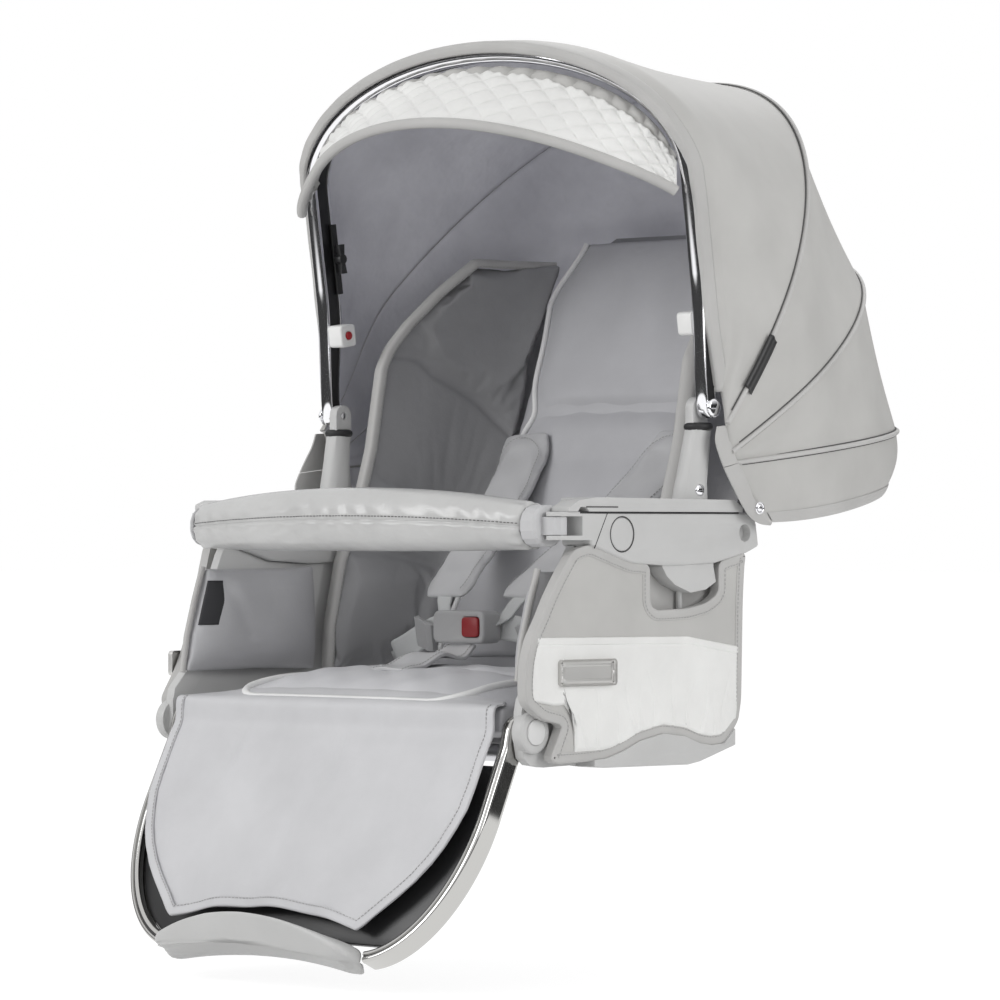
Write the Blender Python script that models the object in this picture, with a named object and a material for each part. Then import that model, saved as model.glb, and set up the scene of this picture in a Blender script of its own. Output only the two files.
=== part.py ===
"""Reversible seat unit of a travel system pram.

The seat looks towards -Y, +X is the right side of the picture and +Z is up. The origin lies
midway between the two lock shoes, at the height of their soles. All sizes are in metres.
"""

import math

import bpy
import bmesh
from mathutils import Vector

SIDES = (("R", 1), ("L", -1))
TOUCH = 0.0003

# Widths, measured outwards from the middle of the seat
TUBE_IN = 0.1810
TUBE_WIDE = 0.0100
PLATE_IN = TUBE_IN + TUBE_WIDE + 0.0005
PLATE_WALL = 0.0085
PLATE_OUT = PLATE_IN + PLATE_WALL
LOBE_OUT = PLATE_OUT + 0.0065
PANEL_IN = LOBE_OUT + 0.0008
PANEL_WALL = 0.0082
PANEL_OUT = PANEL_IN + PANEL_WALL
HOUSING_OUT = PANEL_OUT + 0.0025
HOUSING_WIDE = 0.0320
HOUSING_IN = HOUSING_OUT - HOUSING_WIDE
CAP_OVERHANG = 0.0015

# Armrest housing and its cap
HOUSING_FRONT = -0.0900
HOUSING_REAR = 0.1130
HOUSING_TOP = 0.2005
HOUSING_DEEP = 0.0425
CAP_TALL = 0.0097
CAP_FRONT = -0.1170
CAP_REAR = 0.0905
REST_BUTTON_R = 0.0135
REST_BUTTON_Y = -0.0540
REST_BUTTON_Z = HOUSING_TOP - 0.0175
REST_BUTTON_TRAVEL = 0.0030
REAR_HOLE_R = 0.0070
REAR_HOLE_Y = 0.0950
REAR_HOLE_Z = 0.1840

# Front edge of each outer panel from the top down as (y, z); the left one hangs slacker
PANEL_FRONT = {
    1: [(-0.1060, 0.1690), (-0.1230, 0.1400), (-0.1420, 0.1190), (-0.1540, 0.1020),
        (-0.1640, 0.0640), (-0.1590, 0.0510), (-0.1410, 0.0415)],
    -1: [(-0.0950, 0.1690), (-0.1020, 0.1400), (-0.1090, 0.1190), (-0.1150, 0.1000),
         (-0.1260, 0.0720), (-0.1400, 0.0520), (-0.1395, 0.0425)],
}

# Bumper bar and its fork at the front of each armrest
BAR_PIVOT_X = HOUSING_OUT - 0.0090
BAR_PIVOT_Y = -0.1190
FORK_R = 0.0090
FORK_TALL = 0.0220
WINDOW_TALL = 0.0150
BAR_PIN_R = 0.0025
LATCH_FRONT = -0.1000
LATCH_X = 0.1980
BAR_LEFT_END = 0.1885
BAR_Z = 0.1895
BAR_CORE_R = 0.0090
BAR_BOW = 0.0120
COLLAR_WIDE = 0.0155
COLLAR_DEEP_R = 0.0180
COLLAR_TALL_R = 0.0165
COVER_MID_TALL_R = 0.0255
COVER_END_TALL_R = 0.0185
COVER_MID_DEEP_R = 0.0215
COVER_END_DEEP_R = 0.0180
BAR_RISE = 0.0055

# Chassis release trigger and its pull rod
TRIGGER_FRONT = -0.0030
TRIGGER_REAR = 0.0620
TRIGGER_TRAVEL = 0.0090
TRIGGER_THICK = 0.0150
ROD_R = 0.0025
ROD_Y = 0.0300

# Leg rest
HINGE_Y = -0.1410
HINGE_Z = 0.0300
LOBE_R = 0.0165
HINGE_BUTTON_R = 0.0100
HINGE_BUTTON_TRAVEL = 0.0025
STUB_R = 0.0050
LEG_LEAN = math.radians(26.0)
TUBE_DEEP = 0.0190
TUBE_EYE_R = 0.0125
LEG_STRAIGHT = 0.0750
LEG_ROUND = 0.1220
FOOT_HALF = 0.1095
LEG_IN = 0.0870
LEG_CENTER = 0.1000
LEG_END_ANGLE = math.radians(82.5)
BOARD_THICK = 0.0050
APRON_THICK = 0.0020

# Seat
PAN_FRONT = -0.1340
PAN_REAR = 0.0680
PAN_HALF = 0.1740
PAN_THICK = 0.0070
CROSS_R = 0.0080
CROSS_Y = -0.0950
CROSS_Z = 0.0115
SEAT_HALF = 0.1780
SEAT_THICK = 0.0330
SEAT_CROWN = 0.0120
SEAT_FRONT = -0.1500
RIM = 0.60

# Backrest
ROD_BACK_R = 0.0040
ROD_BACK_Y = 0.0850
ROD_BACK_Z = 0.0360
KNUCKLE_R = 0.0085
BACK_WALL = 0.0080
BACK_LOWER_LEAN = math.radians(30.0)
BACK_UPPER_LEAN = math.radians(21.2)
BACK_LOWER_LONG = 0.2220
BACK_LONG = 0.4480
BACK_HALF = 0.1500
PAD_HALF = 0.1280
PAD_THICK = 0.0240
PAD_CROWN = 0.0070
WING_OUT = 0.1760
WING_THICK = 0.0150

# Shoulder pads: where they lie as shares of the back cushion, half widths, and lift at the buckle
STRAP_PAD_LOW = 0.072
STRAP_PAD_HIGH = 0.538
STRAP_PAD_HALF_LOW = 0.0255
STRAP_PAD_HALF_HIGH = 0.0310
STRAP_PAD_LIFT = 0.0660

# Side cushions: their rear edge, in front of the wings
SIDE_PAD_REAR = 0.0060

# Hood: the pivot, the bow and three sewn-in hoops
PIVOT_Y = 0.0550
PIVOT_Z = 0.2840
BOW_HALF = 0.2115
BOW_TALL = 0.2950
BOW_STRAIGHT = 0.1900
BOW_LEAN = math.radians(-8.5)
BOW_WIDE = 0.0120
BOW_SET_BACK = 0.0110
BOW_FOOT_DEEP = 0.0160
BOW_DEEP = 0.0240
BOLT_R = 0.0030
BOLT_HEAD_R = 0.0075
LUG_WALL = 0.0082
WIRE_R = 0.0022
CLOTH = 0.0024
RIM_GAP = 0.0040
RIM_GAP_LOW = 0.0014
RIM_START = 0.0120

# Each hoop: half width, reach, lean from upright, base y, base z, start angle below the base
FRONT_HOOP = (BOW_HALF + 0.0335, 0.3690, math.radians(39.5), PIVOT_Y, PIVOT_Z, 2.5)
MIDDLE_HOOP = (BOW_HALF + 0.0315, 0.3800, math.radians(62.7), PIVOT_Y + 0.0030, PIVOT_Z - 0.0320, 1.0)
REAR_HOOP = (BOW_HALF + 0.0235, 0.4000, math.radians(84.5), PIVOT_Y + 0.0070, PIVOT_Z - 0.0440, 0.0)

HOOP_STEPS = 28
HOOP_TUCK = 0.0720
HOOP_TUCK_BACK = 0.90

# Lower hem of the hood, drawn in from the rear hoop and hung below the pivot
HEM_TUCK = 0.0090
HEM_HALF = REAR_HOOP[0] - HEM_TUCK
HEM_REACH = 0.3200
HEM_BASE = PIVOT_Y + 0.0530
HEM_LOW = PIVOT_Z - 0.0910
HEM_LIFT = 0.0280

# Visor: where its free edge starts behind the bow, and how far it comes forward and up
VISOR_BACK = 0.0290
VISOR_UP = 0.1690
VISOR_REACH = 0.0900
VISOR_ARCH = 0.0630

# Buckle and clips
BUCKLE_HALF = 0.0290
BUCKLE_TALL = 0.0270
BUCKLE_DEEP = 0.0220
BUCKLE_Z = 0.1070
BUCKLE_TRAVEL = 0.0025
CLIP_TALL = 0.0190
CLIP_DEEP = 0.0180
CLIP_WIDE = 0.0160
CLIP_HEIGHT = 0.0680
CLIP_BUTTON_R = 0.0035
CLIP_TRAVEL = 0.0020
STAY_HEIGHT = 0.1330
STAY_LONG = 0.0600
HANDLE_HALF = 0.0400
HANDLE_TALL = 0.0300
HANDLE_THICK = 0.0100
HANDLE_ALONG = 0.3500


def clear_scene():
    """Start from an empty file."""
    for old in list(bpy.data.objects):
        bpy.data.objects.remove(old, do_unlink=True)


def finish(name, color, roughness, metallic=0.0):
    """One Principled finish."""
    look = bpy.data.materials.new(name)
    look.use_nodes = True
    shader = look.node_tree.nodes["Principled BSDF"]
    shader.inputs["Base Color"].default_value = (*color, 1.0)
    shader.inputs["Roughness"].default_value = roughness
    shader.inputs["Metallic"].default_value = metallic
    look.diffuse_color = (*color, 1.0)
    return look


def solid(name, points, faces, look, origin=(0.0, 0.0, 0.0)):
    """A closed body from points and faces, with its own origin and outward faces."""
    start = Vector(origin)
    mesh = bpy.data.meshes.new(name)
    mesh.from_pydata([Vector(p) - start for p in points], [], faces)
    shape = bmesh.new()
    shape.from_mesh(mesh)
    bmesh.ops.recalc_face_normals(shape, faces=shape.faces)
    shape.to_mesh(mesh)
    shape.free()
    mesh.shade_smooth()
    mesh.set_sharp_from_angle(angle=math.radians(35.0))
    mesh.materials.append(look)
    body = bpy.data.objects.new(name, mesh)
    body.location = start
    bpy.context.scene.collection.objects.link(body)
    return body


def loft(name, rings, look, origin=(0.0, 0.0, 0.0)):
    """Skin a row of equal rings and close both ends."""
    count = len(rings[0])
    points = [p for ring in rings for p in ring]
    faces = []
    for row in range(len(rings) - 1):
        for k in range(count):
            a = row * count + k
            b = row * count + (k + 1) % count
            faces.append((a, b, b + count, a + count))
    faces.append(tuple(range(count)))
    last = (len(rings) - 1) * count
    faces.append(tuple(range(last, last + count)))
    return solid(name, points, faces, look, origin)


def sleeve(name, outer, inner, look, origin=(0.0, 0.0, 0.0)):
    """A tube with a bore, open at both ends, from two rows of equal rings."""
    count = len(outer[0])
    rows = len(outer)
    points = [p for ring in outer + inner for p in ring]
    faces = []
    for wall in (0, rows * count):
        for row in range(rows - 1):
            for k in range(count):
                a = wall + row * count + k
                b = wall + row * count + (k + 1) % count
                faces.append((a, b, b + count, a + count))
    for row in (0, rows - 1):
        for k in range(count):
            a = row * count + k
            b = row * count + (k + 1) % count
            faces.append((a, b, b + rows * count, a + rows * count))
    return solid(name, points, faces, look, origin)


def layered(name, columns, rows, surface, above, below, look, origin=(0.0, 0.0, 0.0)):
    """A padded sheet: surface(u, v) thickened by above(u, v) and below(u, v) along its normal."""
    def normal(u, v):
        step = 0.004
        along = surface(min(u + step, 1.0), v) - surface(max(u - step, 0.0), v)
        across = surface(u, min(v + step, 1.0)) - surface(u, max(v - step, 0.0))
        return along.cross(across).normalized()

    points = []
    for sign, offset in ((1, above), (-1, below)):
        for i in range(rows + 1):
            for j in range(columns + 1):
                u = j / columns
                v = i / rows
                points.append(surface(u, v) + normal(u, v) * sign * offset(u, v))
    wide = columns + 1
    layer = wide * (rows + 1)
    faces = []
    for i in range(rows):
        for j in range(columns):
            a = i * wide + j
            faces.append((a, a + 1, a + wide + 1, a + wide))
            faces.append((a + layer, a + wide + layer, a + wide + 1 + layer, a + 1 + layer))
    edge = [j for j in range(wide)]
    edge += [i * wide + columns for i in range(1, rows + 1)]
    edge += [rows * wide + j for j in range(columns - 1, -1, -1)]
    edge += [i * wide for i in range(rows - 1, 0, -1)]
    for k, a in enumerate(edge):
        b = edge[(k + 1) % len(edge)]
        faces.append((a, b, b + layer, a + layer))
    return solid(name, points, faces, look, origin)


def rounded(corners, radius, steps=3):
    """Round the corners of a flat outline with short curves."""
    result = []
    for k, corner in enumerate(corners):
        here = Vector(corner)
        before = Vector(corners[k - 1])
        after = Vector(corners[(k + 1) % len(corners)])
        reach = min(radius, 0.45 * (before - here).length, 0.45 * (after - here).length)
        start = here + (before - here).normalized() * reach
        end = here + (after - here).normalized() * reach
        for i in range(steps + 1):
            t = i / steps
            result.append(tuple(start * (1 - t) ** 2 + here * 2 * t * (1 - t) + end * t * t))
    return result


def plate(name, outline, near, far, side, look, bevel=0.0, origin=(0.0, 0.0, 0.0)):
    """Extrude a (y, z) outline across X, from near to far on the given side."""
    rings = [[(side * x, y, z) for y, z in outline] for x in (near, far)]
    body = loft(name, rings, look, origin)
    return soften(body, bevel)


def slab(name, outline, low, high, side, look):
    """Extrude an (x, y) outline upwards."""
    return loft(name, [[(side * x, y, z) for x, y in outline] for z in (low, high)], look)


def soften(body, width, segments=1):
    """Ease the sharp edges of a moulding."""
    if width > 0:
        edge = body.modifiers.new("soften", "BEVEL")
        edge.width = width
        edge.segments = segments
        edge.limit_method = "ANGLE"
        edge.angle_limit = math.radians(50.0)
        edge.harden_normals = False
    return body


def oval(center, first, second, count, power=2.0):
    """A ring round center, with its half axes first and second."""
    ring = []
    for k in range(count):
        angle = 2 * math.pi * (k + 0.5) / count
        c = math.cos(angle)
        s = math.sin(angle)
        a = math.copysign(abs(c) ** (2 / power), c)
        b = math.copysign(abs(s) ** (2 / power), s)
        ring.append(Vector(center) + Vector(first) * a + Vector(second) * b)
    return ring


def pin(name, start, end, radius, look, count=20, crown=0.0, origin=(0.0, 0.0, 0.0)):
    """A round bar from start to end, with an eased far edge where crown is given."""
    axis = (Vector(end) - Vector(start)).normalized()
    first = axis.orthogonal().normalized()
    second = axis.cross(first)
    stations = [(Vector(start), radius), (Vector(end), radius)]
    if crown > 0:
        stations[1] = (Vector(end) - axis * crown, radius)
        stations.append((Vector(end) - axis * crown * 0.3, radius - crown * 0.6))
        stations.append((Vector(end), radius - crown * 1.6))
    rings = [oval(p, first * r, second * r, count) for p, r in stations]
    return loft(name, rings, look, origin)


def hidden(body):
    """Mark a cutter or a joined shape as a guide."""
    body.hide_render = True
    body.display_type = "WIRE"
    return body


def combine(body, other, operation):
    """Cut other out of body, or weld it on."""
    step = body.modifiers.new(other.name, "BOOLEAN")
    step.operation = operation
    step.object = hidden(other)
    step.solver = "EXACT"
    return body


def smooth_step(t):
    """Ease from 0 to 1."""
    t = max(0.0, min(1.0, t))
    return t * t * (3 - 2 * t)


def along_table(table, value):
    """Read a smooth curve through (value, result) pairs."""
    if value <= table[0][0]:
        return table[0][1]
    for (a, fa), (b, fb) in zip(table, table[1:]):
        if value <= b:
            t = (value - a) / (b - a)
            return fa + (fb - fa) * t
    return table[-1][1]


# Armrests, side frames and lock shoes


def housing_floor():
    """Underside of the armrest, from front to rear, as (y, z)."""
    low = HOUSING_TOP - HOUSING_DEEP
    return [
        (HOUSING_FRONT, low + 0.0165),
        (-0.0420, low + 0.0025),
        (0.0030, low),
        (0.0590, low + 0.0020),
        (0.0980, low + 0.0100),
    ]


def shoe_crest():
    """Upper edge of the lock shoe, from front to rear, as (y, z)."""
    return [
        (-0.0860, 0.0072),
        (-0.0720, 0.0080),
        (-0.0520, 0.0130),
        (-0.0320, 0.0205),
        (-0.0040, 0.0255),
        (0.0220, 0.0225),
        (0.0400, 0.0165),
        (0.0550, 0.0145),
        (0.0700, 0.0155),
        (0.0830, 0.0270),
    ]


def build_housing(tag, side, look):
    """Moulded armrest body with the fork for the bumper bar."""
    outline = [(HOUSING_FRONT, HOUSING_TOP)] + housing_floor()
    outline += [(HOUSING_REAR, 0.1735), (0.1100, 0.1910), (0.1060, HOUSING_TOP)]
    if side < 0:
        outline[0] = (LATCH_FRONT, HOUSING_TOP)
        slope = (outline[2][1] - outline[1][1]) / (outline[2][0] - outline[1][0])
        outline[1] = (LATCH_FRONT, outline[1][1] + slope * (LATCH_FRONT - outline[1][0]))
    body = plate(f"side_housing_{tag}", outline, HOUSING_IN, HOUSING_OUT, side, look, 0.0015)
    low = HOUSING_TOP - FORK_TALL
    middle = HOUSING_TOP - FORK_TALL / 2
    if side > 0:
        corner = [(BAR_PIVOT_X + FORK_R, HOUSING_FRONT + 0.004)]
        for k in range(13):
            angle = -math.pi * k / 12
            x = BAR_PIVOT_X + FORK_R * math.cos(angle)
            y = BAR_PIVOT_Y + FORK_R * math.sin(angle)
            corner.append((x, y))
        corner.append((BAR_PIVOT_X - FORK_R, HOUSING_FRONT + 0.004))
        combine(body, slab("fork", corner, low, HOUSING_TOP, side, look), "UNION")
        open_x = (HOUSING_IN + 0.005, HOUSING_OUT + 0.005)
        open_y = (BAR_PIVOT_Y - 0.020, HOUSING_FRONT - 0.010)
    else:
        open_x = (LATCH_X - 0.0080, LATCH_X + 0.0095)
        open_y = (LATCH_FRONT - 0.010, LATCH_FRONT + 0.0160)
    window = slab(
        f"window_{tag}",
        [(open_x[0], open_y[0]), (open_x[1], open_y[0]), (open_x[1], open_y[1]),
         (open_x[0], open_y[1])],
        middle - WINDOW_TALL / 2,
        middle + WINDOW_TALL / 2,
        side,
        look,
    )
    combine(body, window, "DIFFERENCE")
    if side > 0:
        bore = pin(
            "bar_pin_bore",
            (BAR_PIVOT_X, BAR_PIVOT_Y, low - 0.004),
            (BAR_PIVOT_X, BAR_PIVOT_Y, HOUSING_TOP + 0.004),
            BAR_PIN_R + TOUCH,
            look,
            16,
        )
        combine(body, bore, "DIFFERENCE")
    recess = pin(
        f"rest_recess_{tag}",
        (side * (HOUSING_OUT - 0.014), REST_BUTTON_Y, REST_BUTTON_Z),
        (side * (HOUSING_OUT + 0.004), REST_BUTTON_Y, REST_BUTTON_Z),
        REST_BUTTON_R + TOUCH,
        look,
        28,
    )
    combine(body, recess, "DIFFERENCE")
    hole = pin(
        f"rear_hole_{tag}",
        (side * (HOUSING_OUT - 0.008), REAR_HOLE_Y, REAR_HOLE_Z),
        (side * (HOUSING_OUT + 0.004), REAR_HOLE_Y, REAR_HOLE_Z),
        REAR_HOLE_R,
        look,
    )
    combine(body, hole, "DIFFERENCE")
    slot_in = PLATE_OUT + TOUCH
    slot_out = slot_in + TRIGGER_THICK + 2 * TOUCH
    floor = HOUSING_TOP - HOUSING_DEEP
    slot_outline = [
        (TRIGGER_FRONT - 0.0015, floor - 0.010),
        (TRIGGER_REAR + 0.0015, floor - 0.010),
        (TRIGGER_REAR + 0.0015, floor + 0.014 + TRIGGER_TRAVEL + 0.002),
        (TRIGGER_FRONT - 0.0015, floor + 0.014 + TRIGGER_TRAVEL + 0.002),
    ]
    slot = plate(f"trigger_slot_{tag}", slot_outline, slot_in, slot_out, side, look)
    combine(body, slot, "DIFFERENCE")


def build_cap(tag, side, look):
    """Curved cover that lies on the armrest."""
    low = HOUSING_TOP + TOUCH
    top = low + CAP_TALL
    outline = [
        (HOUSING_FRONT + 0.002, low),
        (HOUSING_FRONT + 0.002, top + 0.0008),
        (-0.0800, top + 0.0014),
        (-0.0240, top + 0.0002),
        (0.0150, top),
        (0.0800, top),
        (CAP_REAR, top - 0.0055),
        (CAP_REAR, low),
    ]
    outer = HOUSING_OUT + CAP_OVERHANG
    if side < 0:
        outline[0] = (LATCH_FRONT, low)
        outline[1] = (LATCH_FRONT, top - 0.0030)
        outline[2] = (-0.0900, top + 0.0006)
        plate(f"arm_cap_{tag}", outline, HOUSING_IN - CAP_OVERHANG, outer, side, look, 0.0012)
        return
    body = plate(f"arm_cap_{tag}", outline, HOUSING_IN - CAP_OVERHANG, outer, side, look)
    nose_outline = [
        (CAP_FRONT, low),
        (CAP_FRONT, low + 0.0030),
        (-0.1050, top - 0.0012),
        (HOUSING_FRONT, top + 0.0008),
        (HOUSING_FRONT + 0.006, top + 0.0009),
        (HOUSING_FRONT + 0.006, low),
        (HOUSING_FRONT - 0.004, low),
        (HOUSING_FRONT - 0.007, low + 0.0035),
        (CAP_FRONT + 0.013, low + 0.0035),
        (CAP_FRONT + 0.010, low),
    ]
    inner = BAR_PIVOT_X - FORK_R + 0.0008
    nose = plate(f"cap_nose_{tag}", nose_outline, inner, outer, side, look)
    combine(body, nose, "UNION")
    soften(body, 0.0012)


def build_frame(tag, side, look):
    """Moulded side plate with the leg rest hinge lobe and its stub pin."""
    crest = [(y, z + TOUCH) for y, z in shoe_crest()]
    floor = [(y, z - TOUCH) for y, z in housing_floor()]
    outline = [(-0.1410, 0.0045), (-0.1250, 0.0022), (-0.0880, 0.0030)]
    outline += crest
    outline += [(0.0885, 0.0340), (0.0920, 0.0500), (0.0940, 0.1300), (0.0960, 0.1660)]
    outline += list(reversed(floor))[1:]
    outline += [(-0.0950, 0.1660), (-0.1080, 0.1370), (-0.1190, 0.1120), (-0.1270, 0.0900)]
    outline += [(-0.1310, 0.0740), (-0.1400, 0.0640), (-0.1480, 0.0560), (-0.1505, 0.0450)]
    outline += [(-0.1505, 0.0200), (-0.1480, 0.0100)]
    body = plate(f"side_frame_{tag}", outline, PLATE_IN, PLATE_OUT, side, look)
    lobe = pin(
        f"lobe_{tag}",
        (side * (PLATE_OUT - 0.004), HINGE_Y, HINGE_Z),
        (side * LOBE_OUT, HINGE_Y, HINGE_Z),
        LOBE_R,
        look,
        32,
        0.0020,
    )
    combine(body, lobe, "UNION")
    stub = pin(
        f"stub_{tag}",
        (side * (PLATE_IN + 0.004), HINGE_Y, HINGE_Z),
        (side * (TUBE_IN - 0.0010), HINGE_Y, HINGE_Z),
        STUB_R,
        look,
        20,
    )
    combine(body, stub, "UNION")
    recess = pin(
        f"hinge_recess_{tag}",
        (side * PLATE_OUT, HINGE_Y, HINGE_Z),
        (side * (LOBE_OUT + 0.004), HINGE_Y, HINGE_Z),
        HINGE_BUTTON_R + TOUCH,
        look,
        28,
    )
    combine(body, recess, "DIFFERENCE")


def build_shoe(tag, side, look):
    """Boat shaped shoe that drops into the chassis."""
    outline = list(shoe_crest())
    outline += [(0.0830, 0.0140), (0.0640, 0.0090), (0.0400, 0.0022), (0.0250, 0.0)]
    outline += [(-0.0550, 0.0), (-0.0750, 0.0008), (-0.0860, 0.0022)]
    body = plate(f"lock_shoe_{tag}", outline, PLATE_IN, HOUSING_OUT, side, look)
    middle = PLATE_OUT + TOUCH + 0.0037
    well = pin(
        f"rod_well_{tag}",
        (side * middle, ROD_Y, 0.0035),
        (side * middle, ROD_Y, 0.0400),
        ROD_R + 0.0005,
        look,
        16,
    )
    combine(body, well, "DIFFERENCE")


def build_trigger(tag, side, look):
    """Chassis release: a finger tongue with the rod that pulls the lock."""
    near = PLATE_OUT + 2 * TOUCH
    floor = HOUSING_TOP - HOUSING_DEEP
    outline = [
        (TRIGGER_FRONT, floor + 0.0140),
        (TRIGGER_FRONT, floor - 0.0010),
        (TRIGGER_FRONT + 0.0050, floor - 0.0080),
        (TRIGGER_FRONT + 0.0150, floor - 0.0150),
        (TRIGGER_FRONT + 0.0340, floor - 0.0215),
        (TRIGGER_REAR - 0.0120, floor - 0.0190),
        (TRIGGER_REAR, floor - 0.0130),
        (TRIGGER_REAR - 0.0030, floor - 0.0010),
        (TRIGGER_REAR - 0.0030, floor + 0.0140),
    ]
    body = plate(f"trigger_{tag}", outline, near, near + TRIGGER_THICK, side, look)
    middle = PLATE_OUT + TOUCH + 0.0037
    rod = pin(
        f"pull_rod_{tag}",
        (side * middle, ROD_Y, floor - 0.0050),
        (side * middle, ROD_Y, 0.0050),
        ROD_R,
        look,
        12,
    )
    combine(body, rod, "UNION")


def build_rest_button(tag, side, look):
    """Round button that frees the bumper bar."""
    origin = (side * (HOUSING_OUT - 0.0095), REST_BUTTON_Y, REST_BUTTON_Z)
    end = (side * (HOUSING_OUT + 0.0006), REST_BUTTON_Y, REST_BUTTON_Z)
    pin(f"bumper_button_{tag}", origin, end, REST_BUTTON_R, look, 28, 0.0012, origin)


def build_hinge_button(tag, side, look):
    """Cap of the leg rest hinge, pressed to change its angle."""
    origin = (side * (PLATE_OUT + HINGE_BUTTON_TRAVEL + 0.0005), HINGE_Y, HINGE_Z)
    end = (side * (LOBE_OUT + 0.0015), HINGE_Y, HINGE_Z)
    pin(f"hinge_button_{tag}", origin, end, HINGE_BUTTON_R, look, 28, 0.0010, origin)


def build_side_panel(tag, side, look):
    """Padded outer panel with the notch at the hinge and the U under the trigger."""
    floor = [(y, z - TOUCH) for y, z in housing_floor()]
    crest = [(y, z + TOUCH) for y, z in reversed(shoe_crest())]
    low = HOUSING_TOP - HOUSING_DEEP
    outline = [PANEL_FRONT[side][0], (HOUSING_FRONT, floor[0][1]), floor[1]]
    outline += [(TRIGGER_FRONT - 0.0160, low + 0.0005)]
    outline += [(TRIGGER_FRONT - 0.0160, low - 0.0280), (TRIGGER_FRONT - 0.0130, low - 0.0330)]
    outline += [(TRIGGER_FRONT - 0.0070, low - 0.0360), (TRIGGER_FRONT + 0.0300, low - 0.0350)]
    outline += [(TRIGGER_REAR - 0.0120, low - 0.0310), (TRIGGER_REAR, low - 0.0250)]
    outline += [(TRIGGER_REAR + 0.0040, low - 0.0200), (TRIGGER_REAR + 0.0040, low + 0.0020)]
    outline += [floor[-1], (0.0960, 0.1580), (0.0940, 0.1300), (0.0920, 0.0500)]
    outline += [(0.0885, 0.0340)] + crest
    outline += [(-0.1190, 0.0070), (-0.1310, 0.0100), (-0.1195, 0.0340), (-0.1230, 0.0375)]
    outline += list(reversed(PANEL_FRONT[side][1:]))
    plate(f"side_panel_{tag}", outline, PANEL_IN, PANEL_OUT, side, look, 0.0018)


# Seat, side cushions and harness


def build_seat(looks):
    """Cross tube, rod, pan and the crowned cushion on it."""
    half = PLATE_IN - TOUCH
    steel = looks["steel"]
    pin("cross_tube", (-half, CROSS_Y, CROSS_Z), (half, CROSS_Y, CROSS_Z), CROSS_R, steel, 16)
    start = (-half, ROD_BACK_Y, ROD_BACK_Z)
    pin("backrest_rod", start, (half, ROD_BACK_Y, ROD_BACK_Z), ROD_BACK_R, steel, 16)
    low = CROSS_Z + CROSS_R + TOUCH
    corners = [(PAN_HALF, PAN_FRONT), (PAN_HALF, PAN_REAR)]
    corners += [(-PAN_HALF, PAN_REAR), (-PAN_HALF, PAN_FRONT)]
    slab("seat_pan", rounded(corners, 0.030, 4), low, low + PAN_THICK, 1, looks["board"])

    top = low + PAN_THICK + TOUCH

    def surface(u, v):
        drawn = 0.004 * math.sin(math.pi * v)
        y = SEAT_FRONT + (PAN_REAR - SEAT_FRONT) * v
        return Vector(((2 * u - 1) * (SEAT_HALF - drawn), y, top))

    def crown(u, v):
        side = 1 - abs(2 * u - 1) ** 3
        front = 1 - abs(2 * v - 1) ** 3
        channel = 0.0040 * math.exp(-((v - 0.50) / 0.030) ** 2) * side
        return SEAT_THICK * (RIM + (1 - RIM) * side * front) + SEAT_CROWN * side * front - channel

    layered("seat_cushion", 12, 12, surface, crown, lambda u, v: 0.0, looks["fabric"])
    return top, crown


def build_side_cushion(tag, side, look, top):
    """Padding on the inner face of the side frame, in front of the wing."""
    low = top + SEAT_THICK * RIM + SEAT_CROWN + 0.0100

    def surface(u, v):
        front = along_table([(0.0, -0.1410), (0.35, -0.1360), (0.7, -0.1270), (1.0, -0.1180)], v)
        y = front + (SIDE_PAD_REAR - front) * u
        return Vector((side * (PLATE_IN - TOUCH), y, low + (0.1560 - low) * v))

    def inner(u, v):
        fade = (1 - abs(2 * u - 1) ** 4) * (1 - abs(2 * v - 1) ** 4)
        return 0.008 + 0.020 * fade

    if side > 0:
        layered(f"side_cushion_{tag}", 8, 8, surface, lambda u, v: 0.0, inner, look)
    else:
        layered(f"side_cushion_{tag}", 8, 8, surface, inner, lambda u, v: 0.0, look)


def back_point(along, forward):
    """A point on the bent backrest, at a distance along it and in front of its middle."""
    lower = Vector((0.0, math.sin(BACK_LOWER_LEAN), math.cos(BACK_LOWER_LEAN)))
    upper = Vector((0.0, math.sin(BACK_UPPER_LEAN), math.cos(BACK_UPPER_LEAN)))
    blend = 0.060
    t = smooth_step((along - BACK_LOWER_LONG + blend / 2) / blend)
    first = min(along, BACK_LOWER_LONG)
    second = max(along - BACK_LOWER_LONG, 0.0)
    base = Vector((0.0, ROD_BACK_Y, ROD_BACK_Z)) + lower * first + upper * second
    lean = BACK_LOWER_LEAN + (BACK_UPPER_LEAN - BACK_LOWER_LEAN) * t
    ahead = Vector((0.0, -math.cos(lean), math.sin(lean)))
    return base + ahead * forward


def back_along(z):
    """Distance along the backrest that reaches a given height."""
    bend = ROD_BACK_Z + BACK_LOWER_LONG * math.cos(BACK_LOWER_LEAN)
    if z <= bend:
        return (z - ROD_BACK_Z) / math.cos(BACK_LOWER_LEAN)
    return BACK_LOWER_LONG + (z - bend) / math.cos(BACK_UPPER_LEAN)


PAD_START = 0.0180
PAD_SINK = 0.0027


def pad_front(u, v):
    """Thickness of the back cushion at u across and v up."""
    side = 1 - abs(2 * u - 1) ** 3
    ends = 1 - abs(2 * v - 1) ** 6
    crease = 0.0050 * math.exp(-((v - 0.60) / 0.025) ** 2) * side
    lower = 0.0060 * math.exp(-((v - 0.22) / 0.20) ** 2) * side
    body = PAD_THICK * (RIM + (1 - RIM) * side * ends)
    return body + PAD_CROWN * side * ends + lower - crease


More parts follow.
